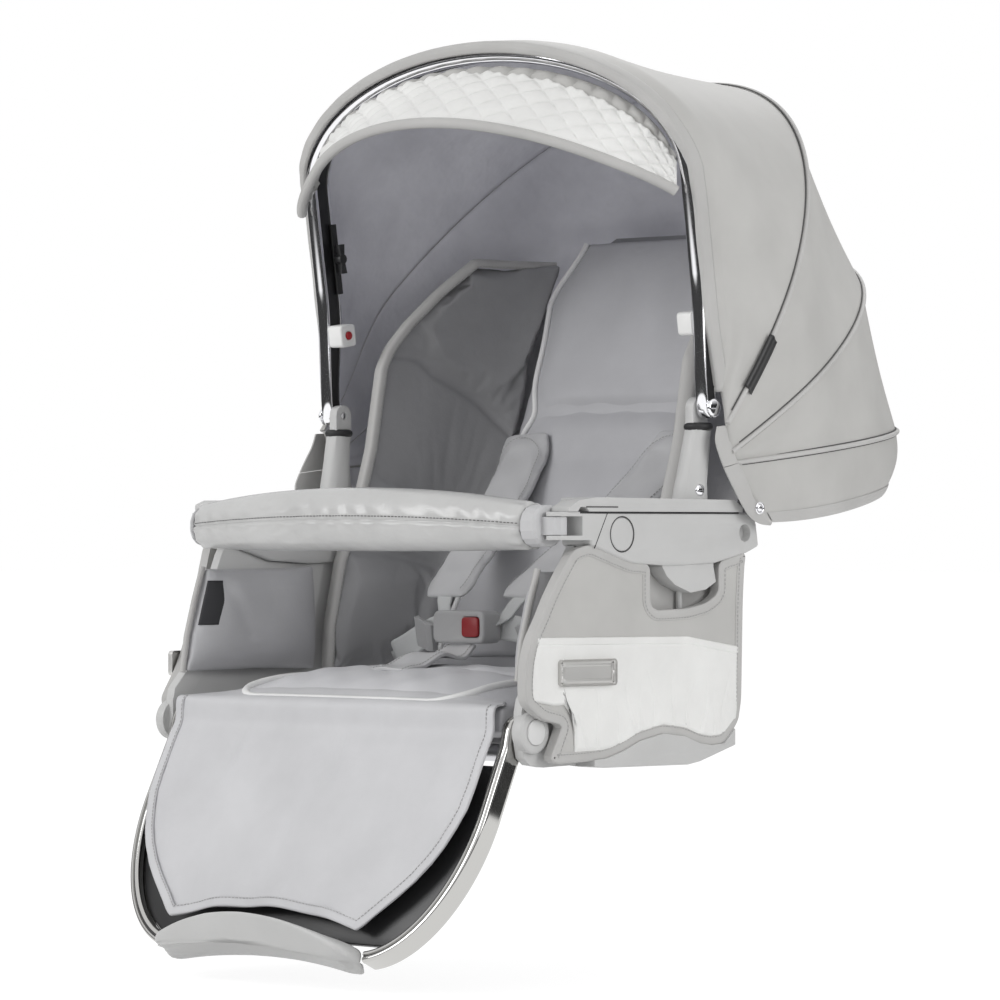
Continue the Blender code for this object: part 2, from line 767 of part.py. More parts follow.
def pad_base(u, v):
    """Back face of the back cushion, just clear of the board."""
    drawn = 0.005 * math.sin(math.pi * v)
    top = 1 - 0.24 * smooth_step((v - 0.84) / 0.16)
    x = (2 * u - 1) * (PAD_HALF - drawn) * top
    along = PAD_START + (BACK_LONG - 0.008 - PAD_START) * v
    return back_point(along, BACK_WALL / 2 + TOUCH) + Vector((x, 0.0, 0.0))


def build_backrest(looks):
    """Bent board with its knuckle, the cushion, the wings, the shoulder pads and the handle."""
    axis = (0.0, ROD_BACK_Y, ROD_BACK_Z)

    def board(u, v):
        half = BACK_HALF * math.sqrt(max(1 - max(0.0, (v - 0.76) / 0.24) ** 2 * 0.72, 0.0))
        along = 0.0050 + (BACK_LONG - 0.0050) * v
        return back_point(along, 0.0) + Vector(((2 * u - 1) * half, 0.0, 0.0))

    half_wall = BACK_WALL / 2
    wall = layered("backrest_board", 8, 22, board, lambda u, v: half_wall,
                   lambda u, v: half_wall, looks["board"], axis)
    reach = BACK_HALF - 0.002
    knuckle = pin("knuckle", (-reach, ROD_BACK_Y, ROD_BACK_Z), (reach, ROD_BACK_Y, ROD_BACK_Z),
                  KNUCKLE_R, looks["board"], 20)
    combine(wall, knuckle, "UNION")
    reach = BACK_HALF + 0.020
    bore = pin("knuckle_bore", (-reach, ROD_BACK_Y, ROD_BACK_Z),
               (reach, ROD_BACK_Y, ROD_BACK_Z), ROD_BACK_R + TOUCH, looks["board"], 16)
    combine(wall, bore, "DIFFERENCE")

    layered("backrest_cushion", 10, 20, pad_base, pad_front, lambda u, v: 0.0,
            looks["fabric"], axis)

    for tag, side in SIDES:
        build_wing(tag, side, looks["fabric"], axis)
        build_shoulder_pad(tag, side, looks["fabric"], axis)

    upper = Vector((0.0, math.sin(BACK_UPPER_LEAN), math.cos(BACK_UPPER_LEAN)))
    behind = Vector((0.0, math.cos(BACK_UPPER_LEAN), -math.sin(BACK_UPPER_LEAN)))
    root = back_point(HANDLE_ALONG, 0.0) + behind * (half_wall + TOUCH)
    profile = [(0.0, 0.0), (0.0, 1.0), (0.35, 1.0), (1.0, 0.72), (1.0, 0.18), (0.4, 0.0)]
    rings = []
    for x in (-HANDLE_HALF, HANDLE_HALF):
        ring = []
        for out, rise in profile:
            p = root + behind * out * HANDLE_THICK + upper * rise * HANDLE_TALL
            ring.append((x, p.y, p.z))
        rings.append(ring)
    soften(loft("recline_handle", rings, looks["dark"], tuple(root)), 0.0012)


def build_wing(tag, side, look, axis):
    """Side bolster that turns from the back cushion towards the front."""
    front = [(0.066, 0.012), (0.105, 0.014), (0.160, 0.027), (0.200, 0.046), (0.255, 0.068),
             (0.293, 0.076), (0.325, 0.083), (0.345, 0.098), (0.365, 0.118), (0.392, 0.146),
             (0.415, 0.180)]
    outer = [(0.066, WING_OUT), (0.340, WING_OUT), (0.365, WING_OUT - 0.003),
             (0.392, WING_OUT - 0.010), (0.415, WING_OUT - 0.022)]
    low = 0.066
    high = 0.415

    def surface(u, v):
        z = low + (high - low) * v
        seat = back_point(back_along(z), PAD_THICK * 0.72)
        start_x = PAD_HALF + 0.0001
        turn = u * math.pi / 2
        x = start_x + (along_table(outer, z) - start_x) * math.sin(turn)
        y = seat.y + (along_table(front, z) - seat.y) * (1 - math.cos(turn))
        return Vector((side * x, y, z))

    def puff(u, v):
        fade = (1 - abs(2 * u - 1) ** 4) * (1 - abs(2 * v - 1) ** 6)
        seam = 0.0028 * math.exp(-((v - 0.42) / 0.03) ** 2)
        seam += 0.0028 * math.exp(-((v - 0.72) / 0.03) ** 2)
        return WING_THICK * (0.30 + 0.32 * fade) - seam * fade

    layered(f"wing_{tag}", 7, 14, surface, puff, puff, look, axis)


def build_shoulder_pad(tag, side, look, axis):
    """Harness pad lying on the back cushion and leaving it towards the buckle."""
    half_thick = 0.0050

    def surface(u, v):
        up = STRAP_PAD_LOW + (STRAP_PAD_HIGH - STRAP_PAD_LOW) * v
        half_wide = STRAP_PAD_HALF_LOW + (STRAP_PAD_HALF_HIGH - STRAP_PAD_HALF_LOW) * v
        x = side * (0.0430 + 0.0470 * v) + (2 * u - 1) * half_wide
        across = 0.5 + x / (2 * PAD_HALF)
        base = pad_base(across, up)
        thick = max(pad_front(across - 0.10, up), pad_front(across, up), pad_front(across + 0.10, up))
        lift = STRAP_PAD_LIFT * (1 - v) ** 2 + 0.0006 - PAD_SINK * smooth_step((v - 0.70) / 0.30)
        gap = thick + half_thick + lift
        lean = BACK_LOWER_LEAN
        return Vector((x, base.y, base.z)) + Vector((0.0, -math.cos(lean), math.sin(lean))) * gap

    def puff(u, v):
        side_fade = 1 - abs(2 * u - 1) ** 4
        return half_thick * (0.45 + 0.55 * side_fade)

    layered(f"shoulder_pad_{tag}", 4, 12, surface, puff, puff, look, axis)


def strip(name, centers, half_wide, across, half_thick, look):
    """A flat strap through given points, its width along one direction."""
    across = Vector(across).normalized()
    rings = []
    for k, center in enumerate(centers):
        before = Vector(centers[max(k - 1, 0)])
        after = Vector(centers[min(k + 1, len(centers) - 1)])
        out = (after - before).cross(across).normalized()
        c = Vector(center)
        rings.append([
            c - across * half_wide - out * half_thick,
            c + across * half_wide - out * half_thick,
            c + across * half_wide + out * half_thick,
            c - across * half_wide + out * half_thick,
        ])
    return loft(name, rings, look)


def build_harness(looks, seat_top, crown):
    """Crotch strap, waist belt, buckle and its red button."""
    half_thick = 0.0012
    low = BUCKLE_Z - BUCKLE_TALL / 2

    def on_seat(x, y, extra=0.0):
        u = 0.5 + x / (2 * SEAT_HALF)
        v = (y - SEAT_FRONT) / (PAN_REAR - SEAT_FRONT)
        return seat_top + crown(u, v) + half_thick + 0.0008 + extra

    path = [
        (0.0, -0.0850, on_seat(0.0, -0.0850)),
        (0.0, -0.0700, on_seat(0.0, -0.0700, 0.0012)),
        (0.0, -0.0480, on_seat(0.0, -0.0480, 0.0090)),
        (0.0, -0.0240, low - 0.0100),
        (0.0, -0.0060, low - TOUCH - half_thick),
    ]
    strip("crotch_strap", path, 0.0170, (1, 0, 0), half_thick, looks["webbing"])

    behind = BUCKLE_DEEP / 2 + TOUCH + half_thick
    belt = []
    for k in range(-8, 9):
        t = k / 8
        x = 0.130 * t
        z = BUCKLE_Z - 0.0265 * smooth_step((abs(t) - 0.22) / 0.78)
        y = behind + 0.0160 * smooth_step((abs(t) - 0.22) / 0.78)
        belt.append((x, y, z))
    strip("waist_belt", belt, 0.0110, (0, 0, 1), half_thick, looks["webbing"])

    corners = [(-BUCKLE_HALF, low), (BUCKLE_HALF, low)]
    corners += [(BUCKLE_HALF, low + BUCKLE_TALL), (-BUCKLE_HALF, low + BUCKLE_TALL)]
    outline = rounded(corners, 0.0070, 3)
    deep = BUCKLE_DEEP / 2
    rings = [[(x, y, z) for x, z in outline] for y in (-deep, deep)]
    body = soften(loft("buckle", rings, looks["plastic"]), 0.0015)
    well_corners = [(0.0050, low + 0.005), (0.0240, low + 0.005)]
    well_corners += [(0.0240, low + BUCKLE_TALL - 0.005), (0.0050, low + BUCKLE_TALL - 0.005)]
    well = rounded(well_corners, 0.0035, 3)
    rings = [[(x, y, z) for x, z in well] for y in (-deep - 0.004, -deep + 0.0065)]
    combine(body, loft("button_well", rings, looks["plastic"]), "DIFFERENCE")
    inner = [(x + (0.0004 if x < 0.0145 else -0.0004), z + (0.0004 if z < BUCKLE_Z else -0.0004))
             for x, z in well]
    rings = [[(x, y, z) for x, z in inner] for y in (-deep - 0.0016, -deep + 0.0035)]
    loft("buckle_button", rings, looks["red"], (0.0145, -deep, BUCKLE_Z))


# Bumper bar


def build_bumper(looks):
    """Core with its hinge lug and latch nose, and the padded cover round it."""
    pivot = (BAR_PIVOT_X, BAR_PIVOT_Y, BAR_Z)
    collar_out = BAR_PIVOT_X - FORK_R - 0.0006
    collar_in = collar_out - COLLAR_WIDE
    cover_left = BAR_LEFT_END - 0.0045
    grey = looks["plastic"]

    def middle(x):
        t = x / collar_in
        rise = BAR_RISE * max(1 - t * t, 0.0)
        return Vector((x, BAR_PIVOT_Y + 0.001 - BAR_BOW * max(1 - t * t, 0.0), BAR_Z + rise))

    rings = []
    for k in range(13):
        x = (collar_in + 0.001) * (k / 6 - 1)
        rings.append(oval(middle(x), (0, BAR_CORE_R, 0), (0, 0, BAR_CORE_R), 12))
    core = loft("bumper_core", rings, grey, pivot)
    lug_tall = WINDOW_TALL / 2 - 0.0005
    center_z = HOUSING_TOP - FORK_TALL / 2
    for tag, side in SIDES:
        reach = collar_out if side > 0 else BAR_LEFT_END
        start = collar_in if side > 0 else cover_left + TOUCH
        ends = []
        for x, scale in ((start, 0.93), (start + 0.001, 1.0), (reach - 0.002, 1.0), (reach, 0.90)):
            spot = (side * x, BAR_PIVOT_Y + 0.001, BAR_Z)
            ends.append(oval(spot, (0, COLLAR_DEEP_R * scale, 0),
                             (0, 0, COLLAR_TALL_R * scale), 16, 2.3))
        combine(core, loft(f"bar_collar_{tag}", ends, grey), "UNION")
    radius = FORK_R - 0.0012
    outline = [(collar_out - 0.006, BAR_PIVOT_Y + radius)]
    for k in range(9):
        angle = math.pi / 2 - math.pi * k / 8
        x = BAR_PIVOT_X + radius * math.cos(angle) * 0.85
        outline.append((x, BAR_PIVOT_Y + radius * math.sin(angle)))
    outline.append((collar_out - 0.006, BAR_PIVOT_Y - radius))
    lug = slab("bar_lug", outline, center_z - lug_tall, center_z + lug_tall, 1, grey)
    combine(core, lug, "UNION")
    hook = [(BAR_LEFT_END - 0.003, BAR_PIVOT_Y - 0.007), (LATCH_X + 0.006, BAR_PIVOT_Y + 0.008),
            (LATCH_X + 0.006, LATCH_FRONT + 0.0120), (LATCH_X - 0.006, LATCH_FRONT + 0.0120),
            (LATCH_X - 0.006, LATCH_FRONT - 0.0030), (BAR_LEFT_END - 0.003, BAR_PIVOT_Y + 0.010)]
    nose = slab("bar_nose", hook, center_z - lug_tall, center_z + lug_tall, -1, grey)
    combine(core, nose, "UNION")
    spindle = pin("bar_pin", (BAR_PIVOT_X, BAR_PIVOT_Y, HOUSING_TOP - FORK_TALL + 0.0005),
                  (BAR_PIVOT_X, BAR_PIVOT_Y, HOUSING_TOP - 0.0005), BAR_PIN_R, grey, 16)
    combine(core, spindle, "UNION")

    outer = []
    inner = []
    for k in range(13):
        t = k / 6 - 1
        x = (collar_in - TOUCH) * t if t > 0 else cover_left * t
        swell = max(1 - abs(t) ** 2.2, 0.0)
        tall = COVER_END_TALL_R + (COVER_MID_TALL_R - COVER_END_TALL_R) * swell
        deep = COVER_END_DEEP_R + (COVER_MID_DEEP_R - COVER_END_DEEP_R) * swell
        tuck = 0.88 if k in (0, 12) else 1.0
        outer.append(oval(middle(x), (0, deep * tuck, 0), (0, 0, tall * tuck), 16, 2.2))
        bore = BAR_CORE_R + 0.0010
        inner.append(oval(middle(x), (0, bore, 0), (0, 0, bore), 16))
    sleeve("bumper_cover", outer, inner, looks["fabric"], pivot)


# Leg rest


def leg_point(x, along, ahead):
    """A point in the leg rest's own plane, which hangs forward from the hinge."""
    down = Vector((0.0, -math.sin(LEG_LEAN), -math.cos(LEG_LEAN)))
    out = Vector((0.0, -math.cos(LEG_LEAN), math.sin(LEG_LEAN)))
    return Vector((x, HINGE_Y, HINGE_Z)) + down * along + out * ahead


def leg_curve(angle, inset=0.0):
    """The rounded lower run of the tube, as (x, along)."""
    x = LEG_CENTER + (LEG_IN - inset) * math.cos(angle)
    return x, LEG_STRAIGHT + (LEG_ROUND - inset) * math.sin(angle)


def build_leg_rest(looks, seat_top, crown):
    """Two bent tubes, the board between them, the foot bar and the hanging apron."""
    axis = (0.0, HINGE_Y, HINGE_Z)
    center = TUBE_IN + TUBE_WIDE / 2
    for tag, side in SIDES:
        path = []
        for along in (-0.0118, -0.0100, -0.0060, 0.0, 0.0070):
            deep = math.sqrt(max(TUBE_EYE_R ** 2 - along ** 2, 0.0))
            path.append((center, along, max(deep, TUBE_DEEP * 0.18)))
        path.append((center, 0.0140, TUBE_DEEP / 2))
        path.append(((center + leg_curve(0.0)[0]) / 2, 0.0420, TUBE_DEEP / 2))
        for k in range(9):
            x, along = leg_curve(LEG_END_ANGLE * k / 8)
            path.append((x, along, TUBE_DEEP / 2))
        rings = []
        for k, (x, along, deep) in enumerate(path):
            a = path[max(k - 1, 0)]
            b = path[min(k + 1, len(path) - 1)]
            run = Vector((b[0] - a[0], b[1] - a[1])).normalized()
            if k < 5:
                run = Vector((0.0, 1.0))
            ring = []
            for p in oval((0, 0, 0), (TUBE_WIDE / 2, 0, 0), (0, deep, 0), 8, 3.2):
                shift_x = run.y * p.x
                shift_s = -run.x * p.x
                ring.append(leg_point(side * (x + shift_x), along + shift_s, p.y))
            rings.append(ring)
        body = loft(f"legrest_tube_{tag}", rings, looks["chrome"], axis)
        bore = pin(f"tube_bore_{tag}", (side * (TUBE_IN - 0.006), HINGE_Y, HINGE_Z),
                   (side * (PLATE_IN + 0.001), HINGE_Y, HINGE_Z), STUB_R + TOUCH, looks["chrome"])
        combine(body, bore, "DIFFERENCE")

    inset = TUBE_WIDE / 2 + 2 * TOUCH
    outline = []
    for k in range(9):
        outline.append(leg_curve(math.radians(70.0) * k / 8, inset))
    edge = [(leg_curve(0.0, inset)[0], 0.0300)] + outline
    flat = edge + [(-x, s) for x, s in reversed(edge)]
    half = BOARD_THICK / 2
    rings = [[leg_point(x, s, f) for x, s in flat] for f in (-half, half)]
    loft("legrest_board", rings, looks["dark"], axis)

    rings = []
    middle = [(0.1790, 0.0480), (0.1960, 0.0330), (0.2010, 0.0056), (0.1960, -0.0050),
              (0.1890, -0.0040), (0.1800, 0.0300)]
    end = [(0.1990, 0.0270), (0.2085, 0.0215), (0.2120, 0.0060), (0.2080, -0.0090),
           (0.1930, -0.0090), (0.1900, 0.0100)]
    for k in range(13):
        t = k / 6 - 1
        q = t * t
        section = [(a[0] + (b[0] - a[0]) * q, a[1] + (b[1] - a[1]) * q)
                   for a, b in zip(middle, end)]
        rings.append([leg_point(FOOT_HALF * t, s, f) for s, f in rounded(section, 0.005, 2)])
    loft("foot_bar", rings, looks["plastic"], axis)

    build_apron(looks["fabric"], axis, seat_top, crown)


def build_apron(look, axis, seat_top, crown):
    """Fabric flap that folds over the seat edge and hangs down the leg rest."""
    lap = [(-0.1260, 0.0012), (-0.1360, 0.0030), (-0.1440, 0.0038)]
    over = [(SEAT_FRONT - 0.0066, 0.0480), (SEAT_FRONT - 0.0088, 0.0300)]
    hang_rows = [0.0230, 0.0400, 0.0560, 0.0730, 0.0890, 0.1050, 0.1200, 0.1350, 0.1500, 0.1640,
                 0.1780]
    half_table = [(0, 0.160), (1, 0.170), (2, 0.176), (3, 0.178), (4, 0.1785), (5, 0.1785),
                  (6, 0.1785), (7, 0.1785), (8, 0.1775), (9, 0.1730), (10, 0.1670), (11, 0.1590),
                  (12, 0.1480), (13, 0.1340), (14, 0.1190), (15, 0.1030)]
    rows = len(lap) + len(over) + len(hang_rows) - 1

    def surface(u, v):
        place = v * rows
        low = min(int(place), rows - 1)
        t = place - low
        t_half = along_table(half_table, place)
        x = (2 * u - 1) * t_half

        def station(k):
            if k < len(lap):
                across = 0.5 + x / (2 * SEAT_HALF)
                back = (lap[k][0] - SEAT_FRONT) / (PAN_REAR - SEAT_FRONT)
                return Vector((0.0, lap[k][0], seat_top + crown(across, back) + lap[k][1]))
            if k < len(lap) + len(over):
                return Vector((0.0, *over[k - len(lap)]))
            return leg_point(0.0, hang_rows[k - len(lap) - len(over)], 0.0165)

        spot = station(low) * (1 - t) + station(low + 1) * t
        down = max(0.0, (place - 5) / (rows - 5))
        fold = 0.0022 * down * math.sin(math.pi * 3.2 * (2 * u - 1) + 0.6)
        arch = -0.0130 * down ** 3 * (1 - (2 * u - 1) ** 2)
        drop = Vector((0.0, -math.sin(LEG_LEAN), -math.cos(LEG_LEAN)))
        out = Vector((0.0, -math.cos(LEG_LEAN), math.sin(LEG_LEAN)))
        return spot + Vector((x, 0, 0)) + out * (fold + 0.0022 * down) + drop * arch

    half = APRON_THICK / 2
    layered("apron", 12, rows, surface, lambda u, v: half, lambda u, v: half, look, axis)


# Hood


def bow_point(x, rise, ahead):
    """A point in the bow's plane."""
    up = Vector((0.0, math.sin(BOW_LEAN), math.cos(BOW_LEAN)))
    out = Vector((0.0, -math.cos(BOW_LEAN), math.sin(BOW_LEAN)))
    return Vector((x, PIVOT_Y, PIVOT_Z)) + up * rise + out * ahead


def bow_curve(angle, grow=0.0):
    """The round top of the bow as (x, rise); grow moves it outwards."""
    x = (BOW_HALF + grow) * math.cos(angle)
    rise = BOW_STRAIGHT + (BOW_TALL - BOW_STRAIGHT + grow) * math.sin(angle)
    return x, rise


def bow_middle(rise):
    """Set-back of the bow's middle line, which leaves the pivot and then runs behind it."""
    return -BOW_SET_BACK * smooth_step(rise / 0.100)


def bow_depth(rise):
    """Half depth of the bow's section, slimmer at its feet."""
    foot = BOW_FOOT_DEEP / 2
    return foot + (BOW_DEEP / 2 - foot) * smooth_step((rise - 0.010) / 0.080)


def bow_path(grow, start, legs, arc):
    """Points along the bow from the right foot, over the top, to the left foot."""
    right = [(BOW_HALF + grow, start + (BOW_STRAIGHT - start) * k / legs) for k in range(legs)]
    over = [bow_curve(math.pi * k / arc, grow) for k in range(arc + 1)]
    left = [(-x, rise) for x, rise in reversed(right)]
    return right + over + left


def hoop_point(hoop, angle, grow=0.0, swing=0.0):
    """A point on a hoop; swing moves it off the hoop's plane, along the cover."""
    half, reach, lean, base_y, base_z, _ = hoop
    up = Vector((0.0, math.sin(lean), math.cos(lean)))
    off = Vector((0.0, -math.cos(lean), math.sin(lean)))
    c = math.cos(angle)
    s = math.sin(angle)
    tuck = 1 - HOOP_TUCK * (1 - smooth_step(s / 0.40))
    x = (half + grow) * tuck * math.copysign(abs(c) ** 0.95, c)
    back = (1 - tuck) * half * HOOP_TUCK_BACK
    return Vector((x, base_y + back, base_z)) + up * (reach + grow) * s + off * swing


def build_hoop(name, hoop, look):
    """One sewn-in wire of the hood."""
    low = math.radians(-hoop[5])
    steps = HOOP_STEPS
    path = bpy.data.curves.new(name, "CURVE")
    path.dimensions = "3D"
    path.bevel_depth = WIRE_R
    path.bevel_resolution = 1
    path.use_fill_caps = True
    line = path.splines.new("POLY")
    line.points.add(steps)
    origin = Vector((0.0, PIVOT_Y, PIVOT_Z))
    for k in range(steps + 1):
        angle = low + (math.pi - 2 * low) * k / steps
        spot = hoop_point(hoop, angle) - origin
        line.points[k].co = (*spot, 1.0)
    path.materials.append(look)
    wire = bpy.data.objects.new(name, path)
    wire.location = origin
    bpy.context.scene.collection.objects.link(wire)
    return wire


def build_gore(name, first, second, gaps, sag, look, rows=4, wrap=None):
    """Cloth between two edge curves, drawn in between them; wrap lays it over the bow first."""
    heart = Vector((0.0, PIVOT_Y + 0.06, PIVOT_Z - 0.02))

    def across(way, edge, u):
        run = (edge(min(u + 0.01, 1.0)) - edge(max(u - 0.01, 0.0))).normalized()
        return (way - run * way.dot(run)).normalized()

    def surface(u, v):
        a = first(u)
        b = second(u)
        way = b - a
        a = a + across(way, first, u) * gaps[0]
        b = b - across(way, second, u) * gaps[1]
        if wrap and v < 1 / rows:
            return wrap(u) * (1 - v * rows) + a * v * rows
        t = (v * rows - 1) / (rows - 1) if wrap else v
        spot = a * (1 - t) + b * t
        inward = (heart - spot).normalized()
        ease = math.sin(math.pi * u) ** 2
        return spot + inward * sag * math.sin(math.pi * t) * ease

    half = CLOTH / 2
    origin = (0.0, PIVOT_Y, PIVOT_Z)
    return layered(name, HOOP_STEPS, rows, surface, lambda u, v: half, lambda u, v: half,
                   look, origin)


def build_hood(looks):
    """Bow, hoops, gores, skirt and visor."""
    origin = (0.0, PIVOT_Y, PIVOT_Z)
    half_wide = BOW_WIDE / 2
    half_deep = BOW_DEEP / 2
    foot_deep = BOW_FOOT_DEEP / 2
    feet = [(-foot_deep * 0.97, 0.25), (-foot_deep * 0.80, 0.60), (-foot_deep * 0.45, 0.893)]
    stations = [(BOW_HALF, low, deep) for low, deep in feet]
    stations += [(x, rise, 1.0) for x, rise in bow_path(0.0, 0.0, 7, 22)]
    stations += [(-BOW_HALF, low, deep) for low, deep in reversed(feet)]
    rings = []
    for k, (x, rise, scale) in enumerate(stations):
        a = stations[max(k - 1, 0)]
        b = stations[min(k + 1, len(stations) - 1)]
        run = Vector((b[0] - a[0], b[1] - a[1])).normalized()
        deep = bow_depth(max(rise, 0.0)) * scale
        ring = []
        for p in oval((0, 0, 0), (half_wide, 0, 0), (0, deep, 0), 10, 2.6):
            spot = bow_point(x + run.y * p.x, rise - run.x * p.x, p.y + bow_middle(rise))
            ring.append(spot)
        rings.append(ring)
    bow = loft("front_bow", rings, looks["chrome"], origin)
    for tag, side in SIDES:
        near = (side * (BOW_HALF - 0.020), PIVOT_Y, PIVOT_Z)
        far = (side * (BOW_HALF + 0.020), PIVOT_Y, PIVOT_Z)
        bore = pin(f"bow_bore_{tag}", near, far, BOLT_R + TOUCH, looks["chrome"], 16)
        combine(bow, bore, "DIFFERENCE")

    build_hoop("hoop_front", FRONT_HOOP, looks["piping"])
    build_hoop("hoop_middle", MIDDLE_HOOP, looks["piping"])
    build_hoop("hoop_rear", REAR_HOOP, looks["piping"])

    shy = WIRE_R + TOUCH + 0.0003
    def rim_edge(u, ahead):
        rim = half_wide + RIM_GAP_LOW + (RIM_GAP - RIM_GAP_LOW) * math.sin(math.pi * u) ** 2
        if u < 0.14:
            x, rise = BOW_HALF + rim, RIM_START + (BOW_STRAIGHT - RIM_START) * u / 0.14
        elif u > 0.86:
            x, rise = -BOW_HALF - rim, RIM_START + (BOW_STRAIGHT - RIM_START) * (1 - u) / 0.14
        else:
            x, rise = bow_curve(math.pi * (u - 0.14) / 0.72, rim)
        return bow_point(x, rise, ahead)

    def rim_line(u, foot_ahead, ahead):
        foot = min(u, 1 - u) / 0.14 * (BOW_STRAIGHT - RIM_START) + RIM_START
        t = smooth_step((foot - 0.012) / 0.060)
        return rim_edge(u, foot_ahead + (ahead - foot_ahead) * t)

    def rim_front(u):
        return rim_line(u, -0.0086, half_deep - BOW_SET_BACK + 0.002)

    def rim_back(u):
        return rim_line(u, -0.0115, -half_deep - BOW_SET_BACK - 0.003)

    def edge_of(hoop):
        low = math.radians(-hoop[5])
        return lambda u: hoop_point(hoop, low + (math.pi - 2 * low) * u)

    def hem(u):
        c = math.cos(math.pi * u)
        s = math.sin(math.pi * u)
        x = HEM_HALF * math.copysign(abs(c) ** 0.90, c)
        return Vector((x, HEM_BASE + HEM_REACH * s, HEM_LOW + HEM_LIFT * smooth_step(s)))

    front = edge_of(FRONT_HOOP)
    middle = edge_of(MIDDLE_HOOP)
    rear = edge_of(REAR_HOOP)
    leather = looks["leather"]
    build_gore("gore_front", rim_back, front, (0.0, shy), 0.003, leather, 5, rim_front)
    build_gore("gore_middle", front, middle, (shy, shy), 0.004, leather)
    build_gore("gore_back", middle, rear, (shy, shy), 0.003, leather)
    build_gore("hood_skirt", rear, hem, (shy, 0.0), -0.010, leather, 3)
    build_visor(looks["quilt"])


def build_visor(look):
    """Quilted peak sewn inside the bow and reaching forward."""
    inner = BOW_WIDE / 2 + 0.0015
    half = BOW_HALF - inner

    def surface(u, v):
        t = 2 * u - 1
        angle = math.pi / 2 - t * math.radians(84.0)
        seam_x, seam_rise = bow_curve(angle, -inner)
        seam = bow_point(seam_x, seam_rise, 0.007 * (1 - t * t) - 0.004)
        x = half * math.sin(t * math.radians(84.0))
        ahead = 1 - (x / half) ** 2
        y = PIVOT_Y - VISOR_BACK - VISOR_REACH * ahead ** 0.8
        edge = Vector((x, y, PIVOT_Z + VISOR_UP + VISOR_ARCH * ahead ** 0.75))
        return seam * (1 - v) + edge * v + Vector((0, 0, 0.006)) * math.sin(math.pi * v) * ahead

    def puff(u, v):
        quilt = 0.0006 * math.sin(14 * math.pi * u) * math.sin(2 * math.pi * v)
        return 0.0024 + quilt

    layered("visor", 20, 3, surface, puff, lambda u, v: 0.0022, look, (0.0, PIVOT_Y, PIVOT_Z))


def build_pivots(looks):
    """Tapered socket with its lug, pivot bolt and the white clip with its red button."""
    top = HOUSING_TOP + TOUCH + CAP_TALL
    for tag, side in SIDES:
        rings = []
        bow_in = BOW_HALF - BOW_WIDE / 2
        for z, x, y, wide, deep in (
            (top + TOUCH, BOW_HALF - 0.0115, PIVOT_Y - 0.0070, 0.0120, 0.0160),
            (top + 0.0130, BOW_HALF - 0.0110, PIVOT_Y - 0.0065, 0.0115, 0.0140),
            (top + 0.0330, BOW_HALF - 0.0095, PIVOT_Y - 0.0040, 0.0105, 0.0110),
            (PIVOT_Z - 0.0145, bow_in - 0.0025, PIVOT_Y, 0.0100, 0.0100),
        ):
            rings.append(oval((side * x, y, z), (wide, 0, 0), (0, deep, 0), 16, 2.3))
        body = loft(f"hood_socket_{tag}", rings, looks["plastic"])
        lug_out = bow_in - TOUCH
        arc = [(PIVOT_Y - 0.0090, PIVOT_Z - 0.0200)]
        for k in range(9):
            angle = math.pi - math.pi * k / 8
            arc.append((PIVOT_Y + 0.0090 * math.cos(angle), PIVOT_Z + 0.0090 * math.sin(angle)))
        arc.append((PIVOT_Y + 0.0090, PIVOT_Z - 0.0200))
        lug = plate(f"lug_{tag}", arc, lug_out - LUG_WALL, lug_out, side, looks["plastic"])
        combine(body, lug, "UNION")
        near = (side * (lug_out - LUG_WALL - 0.005), PIVOT_Y, PIVOT_Z)
        far = (side * (BOW_HALF + 0.010), PIVOT_Y, PIVOT_Z)
        bore = pin(f"lug_bore_{tag}", near, far, BOLT_R + TOUCH, looks["plastic"], 16)
        combine(body, bore, "DIFFERENCE")

        face = BOW_HALF + BOW_WIDE / 2 + TOUCH
        shank_start = (side * (lug_out - LUG_WALL + 0.0005), PIVOT_Y, PIVOT_Z)
        shank = pin(f"pivot_bolt_{tag}", shank_start, (side * (face + 0.001), PIVOT_Y, PIVOT_Z),
                    BOLT_R, looks["chrome"], 16)
        head = pin(f"bolt_head_{tag}", (side * face, PIVOT_Y, PIVOT_Z),
                   (side * (face + 0.0032), PIVOT_Y, PIVOT_Z), BOLT_HEAD_R, looks["chrome"], 24,
                   0.0012)
        combine(shank, head, "UNION")
        build_clip(tag, side, bow_in, looks)
    build_stay(looks)


def build_clip(tag, side, bow_in, looks):
    """White moulded clip on the inner face of the bow."""
    outer = bow_in - TOUCH
    inner = outer - CLIP_WIDE
    set_back = bow_middle(CLIP_HEIGHT)
    corners = [(-CLIP_DEEP / 2, -CLIP_TALL / 2), (CLIP_DEEP / 2, -CLIP_TALL / 2)]
    corners += [(CLIP_DEEP / 2, CLIP_TALL / 2), (-CLIP_DEEP / 2, CLIP_TALL / 2)]
    outline = rounded(corners, 0.0030, 2)
    rings = []
    for x in (inner, outer):
        rings.append([bow_point(side * x, CLIP_HEIGHT + rise, ahead + set_back)
                      for ahead, rise in outline])
    body = soften(loft(f"bow_clip_{tag}", rings, looks["white"]), 0.0010)
    start = bow_point(side * (inner - 0.0040), CLIP_HEIGHT, set_back)
    end = bow_point(side * (inner + 0.0060), CLIP_HEIGHT, set_back)
    well = pin(f"clip_well_{tag}", tuple(start), tuple(end), CLIP_BUTTON_R + TOUCH,
               looks["white"], 16)
    combine(body, well, "DIFFERENCE")
    rear = bow_point(side * (inner + 0.0035), CLIP_HEIGHT, set_back)
    tip = bow_point(side * (inner - 0.0012), CLIP_HEIGHT, set_back)
    pin(f"clip_button_{tag}", tuple(rear), tuple(tip), CLIP_BUTTON_R, looks["red"], 16, 0.0005,
        tuple(rear))


